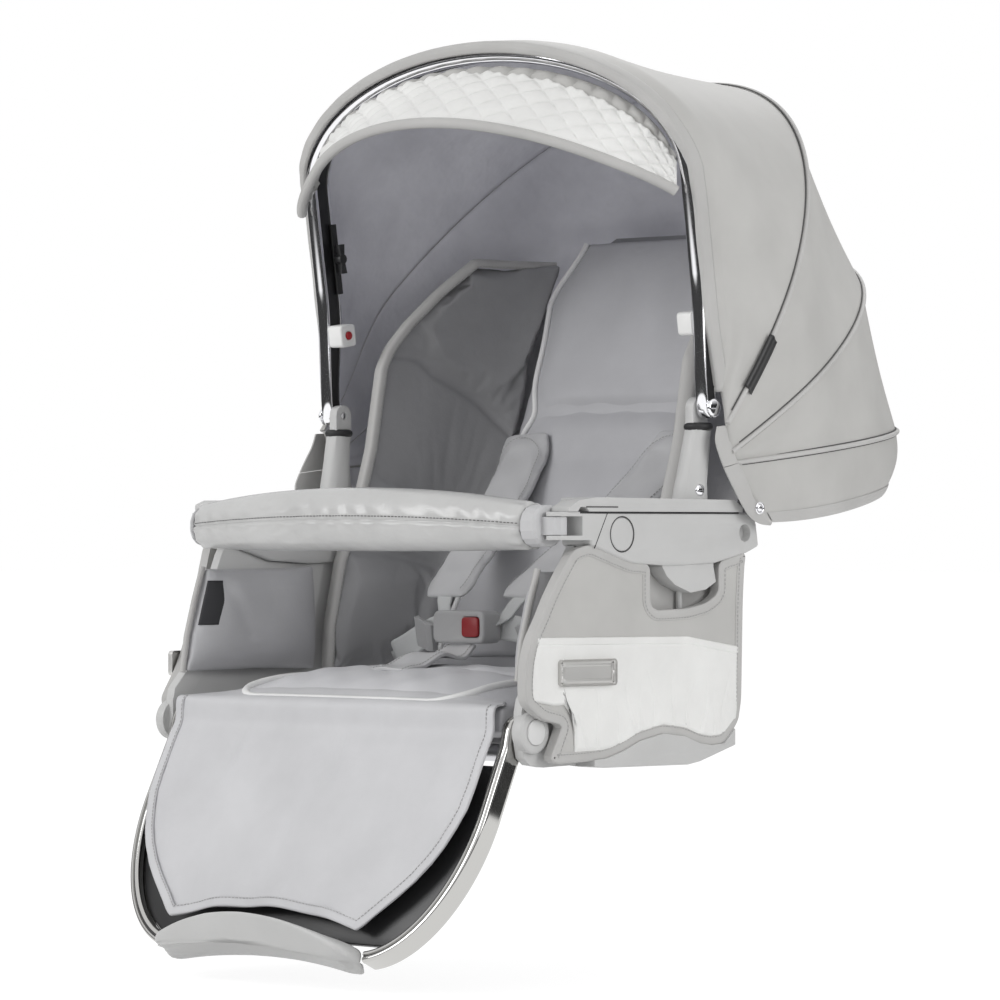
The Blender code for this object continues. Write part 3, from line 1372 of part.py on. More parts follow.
def build_stay(looks):
    """Black stay strip on the left leg of the bow, with its wing screw."""
    bow_in = BOW_HALF - BOW_WIDE / 2
    outer = bow_in - TOUCH
    inner = outer - 0.0022
    corners = [(-0.0100, -STAY_LONG / 2), (-0.0035, -STAY_LONG / 2)]
    corners += [(-0.0035, STAY_LONG / 2), (-0.0100, STAY_LONG / 2)]
    rings = []
    for x in (inner, outer):
        rings.append([bow_point(-x, STAY_HEIGHT + rise, ahead - BOW_SET_BACK)
                      for ahead, rise in corners])
    loft("stay_strip", rings, looks["dark"])
    ahead = -0.0068 - BOW_SET_BACK
    root = bow_point(-(inner - TOUCH), STAY_HEIGHT, ahead)
    tip = bow_point(-(inner - TOUCH - 0.0075), STAY_HEIGHT, ahead)
    knob = pin("wing_screw", tuple(root), tuple(tip), 0.0042, looks["dark"], 14, 0.0, tuple(root))
    wing = []
    for x in (inner - TOUCH - 0.0030, inner - TOUCH - 0.0070):
        outline = [(-0.0022, -0.0030), (-0.0034, -0.0125), (0.0034, -0.0125), (0.0022, -0.0030),
                   (0.0022, 0.0030), (0.0034, 0.0125), (-0.0034, 0.0125), (-0.0022, 0.0030)]
        wing.append([bow_point(-x, STAY_HEIGHT + rise, ahead + f) for f, rise in outline])
    combine(knob, loft("wings_of_screw", wing, looks["dark"]), "UNION")


def build():
    """Put the whole seat unit together."""
    clear_scene()
    looks = {
        "plastic": finish("grey plastic", (0.56, 0.56, 0.57), 0.45),
        "leather": finish("warm grey leatherette", (0.50, 0.50, 0.49), 0.50),
        "fabric": finish("mid grey fabric", (0.36, 0.36, 0.38), 0.90),
        "quilt": finish("white quilt", (0.85, 0.85, 0.85), 0.60),
        "webbing": finish("grey webbing", (0.42, 0.42, 0.44), 0.85),
        "piping": finish("grey piping", (0.52, 0.52, 0.52), 0.60),
        "chrome": finish("chrome", (0.80, 0.80, 0.82), 0.08, 1.0),
        "steel": finish("zinc steel", (0.60, 0.60, 0.62), 0.35, 1.0),
        "board": finish("grey board", (0.30, 0.30, 0.31), 0.60),
        "dark": finish("black plastic", (0.02, 0.02, 0.02), 0.50),
        "white": finish("white plastic", (0.85, 0.85, 0.84), 0.40),
        "red": finish("red plastic", (0.45, 0.02, 0.03), 0.40),
    }
    for tag, side in SIDES:
        build_housing(tag, side, looks["plastic"])
        build_cap(tag, side, looks["plastic"])
        build_frame(tag, side, looks["plastic"])
        build_shoe(tag, side, looks["plastic"])
        build_trigger(tag, side, looks["plastic"])
        build_rest_button(tag, side, looks["plastic"])
        build_hinge_button(tag, side, looks["plastic"])
        build_side_panel(tag, side, looks["leather"])
    seat_top, crown = build_seat(looks)
    for tag, side in SIDES:
        build_side_cushion(tag, side, looks["fabric"], seat_top)
    build_harness(looks, seat_top, crown)
    build_backrest(looks)
    build_bumper(looks)
    build_leg_rest(looks, seat_top, crown)
    build_hood(looks)
    build_pivots(looks)


build()
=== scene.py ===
from math import asin, copysign, cos, exp, pi, radians, sin, sqrt

import bpy
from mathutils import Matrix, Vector


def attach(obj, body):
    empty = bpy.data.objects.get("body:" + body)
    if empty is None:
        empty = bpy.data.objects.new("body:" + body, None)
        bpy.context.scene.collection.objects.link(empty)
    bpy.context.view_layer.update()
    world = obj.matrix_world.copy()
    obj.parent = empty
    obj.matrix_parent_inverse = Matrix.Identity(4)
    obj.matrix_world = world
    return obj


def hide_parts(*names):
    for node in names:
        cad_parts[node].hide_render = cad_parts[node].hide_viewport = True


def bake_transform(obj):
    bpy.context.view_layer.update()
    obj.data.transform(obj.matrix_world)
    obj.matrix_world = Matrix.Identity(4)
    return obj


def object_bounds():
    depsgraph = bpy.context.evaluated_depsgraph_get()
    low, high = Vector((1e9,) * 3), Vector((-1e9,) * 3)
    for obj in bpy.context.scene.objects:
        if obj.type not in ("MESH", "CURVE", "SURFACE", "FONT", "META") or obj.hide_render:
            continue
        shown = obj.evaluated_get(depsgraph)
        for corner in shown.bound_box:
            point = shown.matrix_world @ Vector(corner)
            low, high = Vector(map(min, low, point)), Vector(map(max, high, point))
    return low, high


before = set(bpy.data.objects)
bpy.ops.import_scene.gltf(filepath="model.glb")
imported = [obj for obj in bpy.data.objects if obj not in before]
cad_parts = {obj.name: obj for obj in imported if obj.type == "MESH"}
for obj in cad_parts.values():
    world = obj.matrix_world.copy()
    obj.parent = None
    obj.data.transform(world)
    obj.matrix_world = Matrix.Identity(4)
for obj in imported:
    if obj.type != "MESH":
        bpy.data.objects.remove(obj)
cad_box = [list(corner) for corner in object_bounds()]

# Studio. The seat unit stands over a pale floor in a white room.
# Three large soft boxes light it, and the camera stands where the photographer
# stood: in front and to the right, at the height of the armrests.
camera_turn = radians(43.0)
camera_tilt = radians(-0.345)
camera_back = Vector((sin(camera_turn) * cos(camera_tilt),
                      -cos(camera_turn) * cos(camera_tilt),
                      sin(camera_tilt)))
camera_data = bpy.data.cameras.new("camera")
camera_data.lens = 180
camera_data.sensor_width = 36
camera_data.clip_end = 60
camera = bpy.data.objects.new("camera", camera_data)
camera.location = (2.8187, -2.983, 0.1863)
camera.rotation_euler = (-camera_back).to_track_quat("-Z", "Y").to_euler()
bpy.context.scene.collection.objects.link(camera)
bpy.context.scene.camera = camera
bpy.context.scene.view_settings.view_transform = "Standard"


def node(tree, kind, values=None, **settings):
    """Adds a shader node, sets its options and gives its sockets their values."""
    made = tree.nodes.new(kind)
    for key, value in settings.items():
        setattr(made, key, value)
    for socket, value in (values or {}).items():
        made.inputs[socket].default_value = value
    return made


def wired(tree, *joins):
    """Joins sockets, each pair given as a node, its output, the next node and its input."""
    for first, output, last, entry in joins:
        tree.links.new(first.outputs[output], last.inputs[entry])


floor_height = cad_box[0][2] - 0.012
bpy.ops.mesh.primitive_grid_add(x_subdivisions=2, y_subdivisions=2, size=60,
                                location=(0, 0, floor_height))
studio_floor = bpy.context.object
studio_floor.name = "studio_floor"
floor_paint = bpy.data.materials.new("floor_paint")
floor_paint.use_nodes = True
tree = floor_paint.node_tree
tree.nodes.clear()
matt = node(tree, "ShaderNodeBsdfDiffuse", {"Color": (0.86, 0.86, 0.86, 1)})
glow = node(tree, "ShaderNodeEmission", {"Strength": 1.22})
share = node(tree, "ShaderNodeMixShader", {0: 0.72})
rays = node(tree, "ShaderNodeLightPath")
direct = node(tree, "ShaderNodeMath", operation="MAXIMUM")
seen = node(tree, "ShaderNodeMixShader")
where = node(tree, "ShaderNodeTexCoord")
away = node(tree, "ShaderNodeVectorMath", operation="LENGTH")
edge = node(tree, "ShaderNodeMapRange",
            {"From Min": 2.75, "From Max": 3.25, "To Min": 1.13, "To Max": 0.05})
far = node(tree, "ShaderNodeEmission")
mirror = node(tree, "ShaderNodeMixShader")
out = node(tree, "ShaderNodeOutputMaterial")
wired(tree, (matt, 0, share, 1), (glow, 0, share, 2), (where, "Object", away, 0),
      (away, "Value", edge, "Value"), (edge, 0, far, "Strength"),
      (rays, "Is Camera Ray", direct, 0), (rays, "Is Glossy Ray", direct, 1),
      (rays, "Is Glossy Ray", mirror, 0), (share, 0, mirror, 1), (far, 0, mirror, 2),
      (direct, 0, seen, 0), (matt, 0, seen, 1), (mirror, 0, seen, 2), (seen, 0, out, "Surface"))
studio_floor.data.materials.append(floor_paint)

room = bpy.data.worlds.new("white_room")
bpy.context.scene.world = room
room.use_nodes = True
tree = room.node_tree
tree.nodes.clear()
light = node(tree, "ShaderNodeBackground", {"Color": (1, 1, 1, 1), "Strength": 0.64})
white = node(tree, "ShaderNodeBackground", {"Color": (1, 1, 1, 1)})
mirror = node(tree, "ShaderNodeBackground")
way = node(tree, "ShaderNodeTexCoord")
split = node(tree, "ShaderNodeSeparateXYZ")
lift = node(tree, "ShaderNodeMapRange", {"From Min": -1, "From Max": 1})
bands = node(tree, "ShaderNodeValToRGB")
bands.color_ramp.elements[0].position = 0.50
bands.color_ramp.elements[0].color = (0.75, 0.75, 0.76, 1)
bands.color_ramp.elements[1].position = 1.0
bands.color_ramp.elements[1].color = (1, 1, 1, 1)
for place, grey in ((0.515, 0.02), (0.56, 0.03), (0.60, 0.55), (0.72, 0.95)):
    stop = bands.color_ramp.elements.new(place)
    stop.color = (grey, grey, grey * 1.01, 1)
rays = node(tree, "ShaderNodeLightPath")
lit = node(tree, "ShaderNodeMixShader")
seen = node(tree, "ShaderNodeMixShader")
direct = node(tree, "ShaderNodeMath", operation="MAXIMUM")
out = node(tree, "ShaderNodeOutputWorld")
wired(tree, (way, "Generated", split, 0), (split, "Z", lift, "Value"), (lift, 0, bands, 0),
      (bands, 0, mirror, "Color"), (rays, "Is Glossy Ray", lit, 0), (light, 0, lit, 1),
      (mirror, 0, lit, 2), (rays, "Is Camera Ray", direct, 0),
      (rays, "Is Transmission Ray", direct, 1), (direct, 0, seen, 0), (lit, 0, seen, 1),
      (white, 0, seen, 2), (seen, 0, out, "Surface"))


def soft_box(name, place, target, size, power):
    """A soft area light that looks at a target."""
    data = bpy.data.lights.new(name, "AREA")
    data.shape = "RECTANGLE"
    data.size, data.size_y = size
    data.energy = power
    lamp = bpy.data.objects.new(name, data)
    lamp.location = place
    lamp.rotation_euler = (Vector(target) - Vector(place)).to_track_quat("-Z", "Y").to_euler()
    bpy.context.scene.collection.objects.link(lamp)
    return lamp


soft_box("key_box", (-1.3, -2.8, 1.5), (0, 0, 0.2), (1.6, 1.4), 36)
soft_box("right_box", (3.0, 0.2, 1.2), (0, 0.1, 0.2), (1.2, 1.8), 26)
soft_box("back_box", (-1.6, 2.6, 2.4), (0, 0.1, 0.2), (1.6, 1.2), 14)


# Moulded plastic. The armrest housings and their caps, the side frames, the lock
# shoes, triggers, push buttons and hood sockets are injection moulded in one
# warm light grey with a fine spark-eroded grain, and every edge is rounded off.
def plain_shader(name, color, roughness, metallic=0.0):
    """A material of one even colour, and its shader."""
    material = bpy.data.materials.new(name)
    material.use_nodes = True
    shader = material.node_tree.nodes["Principled BSDF"]
    shader.inputs["Base Color"].default_value = (*color, 1)
    shader.inputs["Roughness"].default_value = roughness
    shader.inputs["Metallic"].default_value = metallic
    return material, shader


def shaded(color, *shares):
    return [[min(c * share, 1) for c in color] for share in shares]


def tinted(tree, places, shades):
    """A ramp between two shades of one colour."""
    ramp = node(tree, "ShaderNodeValToRGB")
    for stop, place, shade in zip(ramp.color_ramp.elements, places, shades):
        stop.position = place
        stop.color = (*shade, 1)
    return ramp


def grained_plastic(name, color, roughness, grain=1500.0, depth=0.00006):
    """Moulded plastic with a fine grain and slightly uneven polish."""
    material, shader = plain_shader(name, color, roughness)
    tree = material.node_tree
    where = node(tree, "ShaderNodeTexCoord")
    fine = node(tree, "ShaderNodeTexNoise", {"Scale": grain, "Detail": 3})
    bump = node(tree, "ShaderNodeBump", {"Strength": 0.35, "Distance": depth})
    cloud = node(tree, "ShaderNodeTexNoise", {"Scale": 22, "Detail": 4})
    tint = tinted(tree, (0.3, 0.75), shaded(color, 0.955, 1.03))
    polish = node(tree, "ShaderNodeMapRange",
                  {"To Min": roughness - 0.05, "To Max": roughness + 0.07})
    wired(tree, (where, "Object", fine, "Vector"), (where, "Object", cloud, "Vector"),
          (fine, "Fac", bump, "Height"), (bump, "Normal", shader, "Normal"),
          (cloud, "Fac", tint, "Fac"), (tint, "Color", shader, "Base Color"),
          (cloud, "Fac", polish, "Value"), (polish, "Result", shader, "Roughness"))
    return material


grey_plastic = grained_plastic("grey_plastic", (0.56, 0.56, 0.555), 0.46)


def only(piece):
    """Makes a piece the one selected and active object."""
    bpy.ops.object.select_all(action="DESELECT")
    piece.select_set(True)
    bpy.context.view_layer.objects.active = piece


def edited(piece, *steps):
    """Runs edit mode operators, each with its settings, on every face of a piece."""
    only(piece)
    bpy.ops.object.mode_set(mode="EDIT")
    bpy.ops.mesh.select_all(action="SELECT")
    for operator, settings in steps:
        operator(**settings)
    bpy.ops.object.mode_set(mode="OBJECT")


def welded(piece, nearest):
    """Joins doubled corners and turns the faces outwards."""
    edited(piece, (bpy.ops.mesh.remove_doubles, {"threshold": nearest}),
           (bpy.ops.mesh.normals_make_consistent, {"inside": False}))


def painted(piece, *materials):
    piece.data.materials.clear()
    for material in materials:
        piece.data.materials.append(material)


def applied(piece, kind, **settings):
    """Adds a modifier with its settings and applies it."""
    only(piece)
    modifier = piece.modifiers.new(kind.lower(), kind)
    for key, value in settings.items():
        setattr(modifier, key, value)
    bpy.ops.object.modifier_apply(modifier=modifier.name)


def bevelled(piece, width, segments=2, **settings):
    """Rounds off the sharp edges of a piece."""
    applied(piece, "BEVEL", width=width, segments=segments, limit_method="ANGLE", **settings)


def fixed(piece, body, slot, solid=None):
    """Hangs a piece on the body that carries it and hides the solid it stands for; the slot is not
    used.
    """
    if solid:
        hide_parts(solid)
    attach(piece, body)


def moulded(solid, name, material, body, slot, rounding=0.0008, crease=30):
    """A copy of one of the solids, with its edges rounded off."""
    piece = bpy.data.objects.new(name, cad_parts[solid].data.copy())
    bpy.context.scene.collection.objects.link(piece)
    edited(piece, (bpy.ops.mesh.remove_doubles, {"threshold": 0.00002}),
           (bpy.ops.mesh.dissolve_limited, {"angle_limit": radians(4)}))
    if rounding:
        bevelled(piece, rounding, angle_limit=radians(crease), harden_normals=False)
    bpy.ops.object.shade_smooth_by_angle(angle=radians(40))
    painted(piece, material)
    fixed(piece, body, slot, solid)
    return piece


# A lighter copy of the grey plastic for the leg release buttons, painted light against the shade
# they sit in.
grey_plastic_painted_lit = grained_plastic("grey_plastic_painted_lit", (0.72, 0.72, 0.715), 0.46)
sides = ((1, "R"), (-1, "L"))
for side in ("R", "L"):
    for solid, name, body, rounding in (
            ("side_housing", "armrest_body", "seat", 0.0007),
            ("arm_cap", "armrest_cap", "seat", 0.0008),
            ("side_frame", "side_plate", "seat", 0.0008),
            ("lock_shoe", "chassis_shoe", "seat", 0.0008),
            ("trigger", "release_trigger", f"pull_{side}", 0.0016),
            ("bumper_button", "bar_release", f"bar_press_{side}", 0.0006),
            ("hinge_button", "leg_release", f"leg_press_{side}", 0.0006),
            ("hood_socket", "hood_post", "seat", 0.0008)):
        paint = grey_plastic_painted_lit if solid == "hinge_button" else grey_plastic
        moulded(f"{solid}_{side}", f"{name}_{side}", paint, body, "grey_plastic", rounding)


# Seat base. A bare zinc cross tube and rod carry the grey pan and the bent back
# board, both plain moulded sheets, with a black recline handle behind the board.
zinc, _ = plain_shader("zinc", (0.60, 0.60, 0.62), 0.32, 1.0)
board_grey = grained_plastic("board_grey", (0.30, 0.30, 0.31), 0.52)
black_plastic = grained_plastic("black_plastic", (0.018, 0.018, 0.019), 0.38)

moulded("cross_tube", "seat_cross_tube", zinc, "seat", "steel", 0)
moulded("backrest_rod", "recline_rod", zinc, "seat", "steel", 0)
moulded("seat_pan", "seat_base_pan", board_grey, "seat", "grey_board", 0.0014)
moulded("backrest_board", "back_board", board_grey, "backrest", "grey_board", 0.0014)
moulded("recline_handle", "back_handle", black_plastic, "handle", "black_plastic", 0.0014)


# Leg rest. Two chromed flat tubes with grooves rolled along them bend inwards to a
# moulded grey foot bar; a black board spans them under the fabric flap.
chrome, shader = plain_shader("chrome", (0.86, 0.86, 0.88), 0.05, 1.0)
tree = chrome.node_tree
where = node(tree, "ShaderNodeTexCoord")
wave = node(tree, "ShaderNodeTexNoise", {"Scale": 30})
haze = node(tree, "ShaderNodeMapRange", {"To Min": 0.03, "To Max": 0.10})
wired(tree, (where, "Object", wave, "Vector"), (wave, "Fac", haze, "Value"),
      (haze, "Result", shader, "Roughness"))

# Near-black paint for the bow's channel and the tubes' grooves: painted shade and dark reflection
# in them.
painted_groove_shade = grained_plastic("painted_groove_shade", (0.012, 0.012, 0.013), 0.30)
leg_hinge_y, leg_hinge_z = -0.141, 0.030
leg_lean = radians(26)
leg_down = Vector((0, -sin(leg_lean), -cos(leg_lean)))
leg_ahead = Vector((0, -cos(leg_lean), sin(leg_lean)))


def leg_point(x, along, ahead):
    """A point of the leg rest, measured down along it and ahead of it from its hinge."""
    return Vector((x, leg_hinge_y, leg_hinge_z)) + leg_down * along + leg_ahead * ahead


def traced(name, points, closed=False, **settings):
    """A curve of straight steps through points, flat or in space."""
    curve = bpy.data.curves.new(name, "CURVE")
    for key, value in settings.items():
        setattr(curve, key, value)
    line = curve.splines.new("POLY")
    line.points.add(len(points) - 1)
    for point, spot in zip(line.points, points):
        point.co = (*(*spot, 0)[:3], 1)
    line.use_cyclic_u = closed
    return curve


def placed(name, data):
    """Puts a curve into the scene as an object."""
    thing = bpy.data.objects.new(name, data)
    bpy.context.scene.collection.objects.link(thing)
    return thing


def meshed(name, curve, *materials):
    """Turns a curve into a mesh piece with its materials."""
    only(placed(name, curve))
    bpy.ops.object.convert(target="MESH")
    painted(bpy.context.object, *materials)
    return bpy.context.object


def swept(name, line, section, place, material, groove=None):
    """A section drawn along a flat line with Blender's own curve bevel, then laid in place."""
    outline = traced(f"{name}_section", section, True, dimensions="2D")
    former = placed(f"{name}_section", outline)
    rail = traced(name, line, dimensions="2D", bevel_mode="OBJECT", bevel_object=former,
                  use_fill_caps=True)
    piece = meshed(name, rail, material)
    bpy.data.objects.remove(former)
    # Faces that the mask picks out get the painted groove shade.
    if groove:
        piece.data.materials.append(painted_groove_shade)
        for face in piece.data.polygons:
            face.material_index = 1 if groove(face.center.z) else 0
    for vertex in piece.data.vertices:
        vertex.co = place(*vertex.co)
    welded(piece, 0.00001)
    bpy.ops.object.shade_smooth_by_angle(angle=radians(38))
    return piece


def smooth_step(t):
    t = min(max(t, 0.0), 1.0)
    return t * t * (3 - 2 * t)


def bell(distance, width):
    """One at the middle, fading to nothing a few widths away."""
    return exp(-(distance / width) ** 2)


def dome(share, power):
    """Nothing at both ends of a run and one in its middle, squarer for a higher power."""
    return 1 - abs(2 * share - 1) ** power


tube_middle = 0.1858
straight_end, bend_start, bend_turn = 0.016, 0.075, radians(82.5)
bend_centre, bend_wide, bend_deep = 0.100, 0.087, 0.122
leg_line = [(tube_middle, along)
            for along in (-0.0118, -0.0095, -0.006, -0.002, 0.004, 0.010, straight_end)]
for k in range(1, 6):
    widened = tube_middle + (bend_centre + bend_wide - tube_middle) * k / 6
    leg_line.append((widened, straight_end + (bend_start - straight_end) * k / 6))
for k in range(41):
    angle = bend_turn * k / 40
    leg_line.append((bend_centre + bend_wide * cos(angle), bend_start + bend_deep * sin(angle)))
tube_half, tube_deep, tube_round, groove_at = 0.0046, 0.0095, 0.0022, 0.0044
tube_section = []
for corner_x, corner_y, first in ((1, 1, 0), (-1, 1, 90), (-1, -1, 180), (1, -1, 270)):
    for step in range(4):
        angle = radians(first + 30 * step)
        tube_section.append((corner_x * (tube_half - tube_round) + tube_round * cos(angle),
                             corner_y * (tube_deep - tube_round) + tube_round * sin(angle)))
    if first == 0:
        tube_section += [(0.0012, tube_deep), (0.0007, tube_deep - 0.0012),
                         (-0.0007, tube_deep - 0.0012), (-0.0012, tube_deep)]
    if first == 90:
        for y in (0.0052, groove_at, 0.0036, 0.0012, 0.0004, -0.0004, -0.0012, -0.0036, -groove_at,
                  -0.0052):
            deep = 0.0009 if abs(y) == groove_at or abs(y) < 0.0005 else 0.0
            tube_section.append((deep - tube_half, y))
    if first == 270:
        tube_section += [(tube_half, -0.0060), (tube_half, -0.0001), (tube_half, 0.0060)]

# A darker copy of the chrome for the leg tubes: painted darker reflection.
tube_chrome_painted_dark = chrome.copy()
tube_chrome_painted_dark.name = "tube_chrome_painted_dark"
shader = tube_chrome_painted_dark.node_tree.nodes["Principled BSDF"]
shader.inputs["Base Color"].default_value = (0.53, 0.525, 0.51, 1)
for side, tag in sides:

    def tube_place(x, along, ahead):
        narrow = sqrt(max(0.0125 ** 2 - min(along, 0.0) ** 2, 0.0)) / 0.0125
        flare = 1.0 + 0.28 * (1 - smooth_step((along - 0.004) / 0.012))
        return leg_point(side * x, along, ahead * flare * max(narrow, 0.2))

    # The grooves, and a thin line near one edge of each tube, get the painted groove shade.
    tube = swept(f"leg_tube_{tag}", leg_line, tube_section, tube_place, tube_chrome_painted_dark,
                 lambda ahead: abs(abs(ahead) - groove_at) < 0.0006 or abs(ahead) < 0.0006
                 or abs(ahead - 0.0083) < 0.0002)
    fixed(tube, "leg_rest", "chrome", f"legrest_tube_{tag}")

moulded("legrest_board", "leg_board", black_plastic, "leg_rest", "black_plastic", 0.001)

foot = moulded("foot_bar", "foot_bar_grip", grey_plastic, "leg_rest", "grey_plastic", 0)
applied(foot, "SUBSURF", levels=2, render_levels=2)
for vertex in foot.data.vertices:
    vertex.co.x *= 1.014
bpy.ops.object.shade_smooth()


# Hood bow. One flat chromed tube, set on edge, turns about a bolt in each post; it
# has a channel rolled along its face, painted black as shade and dark reflection, and
# carries two white snap clips.
pivot = Vector((0, 0.055, 0.284))
bow_half, bow_tall, bow_straight = 0.2115, 0.295, 0.190
bow_lean = radians(-8.5)
bow_up = Vector((0, sin(bow_lean), cos(bow_lean)))
bow_ahead = Vector((0, -cos(bow_lean), sin(bow_lean)))


def bow_point(x, rise, ahead):
    """A point of the bow, measured up along it and ahead of it from its bolt."""
    return Vector((x, pivot.y, pivot.z)) + bow_up * rise + bow_ahead * ahead


def bow_curve(angle, grow=0.0):
    return ((bow_half + grow) * cos(angle),
            bow_straight + (bow_tall - bow_straight + grow) * sin(angle))


def bow_place(x, rise, ahead):
    depth = 0.667 + 0.333 * smooth_step((rise - 0.010) / 0.080)
    middle = -0.011 * smooth_step(rise / 0.100)
    end = sqrt(max(1 - min(rise, 0) ** 2 / 0.0081 ** 2, 0.03))
    return bow_point(x, rise, ahead * depth * end + middle)


bow_line = [(bow_half, -0.0079), (bow_half, -0.0074), (bow_half, -0.006), (bow_half, -0.003)]
bow_line += [(bow_half, bow_straight * k / 14) for k in range(14)]
bow_line += [bow_curve(pi * k / 72) for k in range(73)]
bow_line += [(-x, y) for x, y in reversed(bow_line[:18])]
bow_face = []
for way in (1, -1):
    for step in range(13):
        angle = pi * step / 12
        bow_face.append((way * 0.006 * cos(angle), way * (0.0070 + 0.0050 * sin(angle))))
    bow_face += [(-way * 0.006, way * 0.0062), (-way * 0.0050, way * 0.0054),
                 (-way * 0.0050, -way * 0.0054), (-way * 0.006, -way * 0.0062)]
# The channel along the bow's sides gets the painted groove shade.
bow = swept("hood_bow", bow_line, bow_face, bow_place, chrome, lambda ahead: abs(ahead) < 0.0060)
fixed(bow, "bow", "chrome", "front_bow")

white_plastic = grained_plastic("white_plastic", (0.86, 0.86, 0.85), 0.42)
red_plastic = grained_plastic("red_plastic", (0.42, 0.016, 0.022), 0.32)
for side in ("R", "L"):
    moulded(f"pivot_bolt_{side}", f"bow_bolt_{side}", chrome, "seat", "chrome", 0.0006, 50)
    moulded(f"bow_clip_{side}", f"snap_clip_{side}", white_plastic, "bow", "white_plastic", 0.001)
    moulded(f"clip_button_{side}", f"clip_push_{side}", red_plastic, f"clip_press_{side}",
            "red_plastic", 0.0003)
moulded("stay_strip", "hood_stay", black_plastic, "bow", "black_plastic", 0.0004)
moulded("wing_screw", "stay_thumbscrew", black_plastic, "stay_screw", "black_plastic", 0.0006)


# Armrest trim. Thin black strips of painted shade lie in the slit between each cap and its
# housing, widening near its front, with a painted shade line on the moulded parting, a shadow
# ring round the bar release, and a black elastic band and a chromed screw on each post.
rubber_and_painted_shade = grained_plastic("rubber_and_painted_shade", (0.016, 0.016, 0.017), 0.55)
pocket_y, pocket_z, pocket_long, parting_z = -0.0790, 0.2044, 0.0370, 0.1862


def basic(name, operator, **settings):
    """Adds one of Blender's basic shapes and applies its place, turn and size to its mesh."""
    bpy.ops.object.select_all(action="DESELECT")
    operator(**settings)
    piece = bpy.context.object
    piece.name = name
    bpy.ops.object.transform_apply(location=True, rotation=True, scale=True)
    return piece


def trim_box(name, place, size, rounding):
    """A small rounded black block on the armrest that stands for painted shade in a gap."""
    piece = basic(name, bpy.ops.mesh.primitive_cube_add, size=1, scale=size)
    bevelled(piece, rounding, 4)
    for vertex in piece.data.vertices:
        vertex.co += Vector(place)
    piece.data.materials.append(rubber_and_painted_shade)
    bpy.ops.object.shade_smooth_by_angle(angle=radians(40))
    fixed(piece, "seat", "black_plastic")
    return piece


for side, tag in sides:
    # Painted shade: a strip in the slit under each cap, a wider patch of it near the front, and a
    # line of it on the parting.
    trim_box(f"arm_slit_shade_{tag}", (side * 0.2180, -0.0080, 0.1999),
             (0.0010, 0.1900, 0.0014), 0.0004)
    pocket = trim_box(f"arm_slit_wide_shade_{tag}", (side * 0.2196, pocket_y, pocket_z - 0.0004),
                      (0.0008, pocket_long, 0.0056), 0.0002)
    for vertex in pocket.data.vertices:
        along = (vertex.co.y - pocket_y) / (pocket_long / 2)
        vertex.co.z = pocket_z + (vertex.co.z - pocket_z) * max(1 - abs(along) ** 3, 0.15)
    parting = trim_box(f"arm_parting_shade_{tag}", (side * 0.2179, -0.0785, parting_z),
                       (0.0006, 0.0009, 0.0285), 0.0002)
    for vertex in parting.data.vertices:
        vertex.co.y += (vertex.co.z - parting_z) * 0.55
    # A thin dark ring of painted shade round the bar release.
    ring = basic(f"bar_release_ring_{tag}", bpy.ops.mesh.primitive_torus_add,
                 major_radius=0.0139, minor_radius=0.0004, major_segments=56, minor_segments=8,
                 rotation=(0, pi / 2, 0), location=(side * 0.2180, -0.0538, 0.1830))
    elastic = basic(f"post_elastic_{tag}", bpy.ops.mesh.primitive_torus_add,
                    major_radius=0.0085, minor_radius=0.0034, major_segments=40,
                    minor_segments=12, location=(side * 0.2030, 0.055, 0.2690))
    screw = basic(f"post_screw_{tag}", bpy.ops.mesh.primitive_uv_sphere_add, segments=32,
                  ring_count=16, radius=0.0052, location=(side * 0.2114, 0.0470, 0.2180),
                  scale=(0.35, 1, 1))
    for piece, material, slot in ((ring, rubber_and_painted_shade, "black_plastic"), (elastic, rubber_and_painted_shade, "webbing"),
                                  (screw, chrome, "chrome")):
        only(piece)
        piece.data.materials.append(material)
        bpy.ops.object.shade_smooth()
        fixed(piece, "seat", slot)


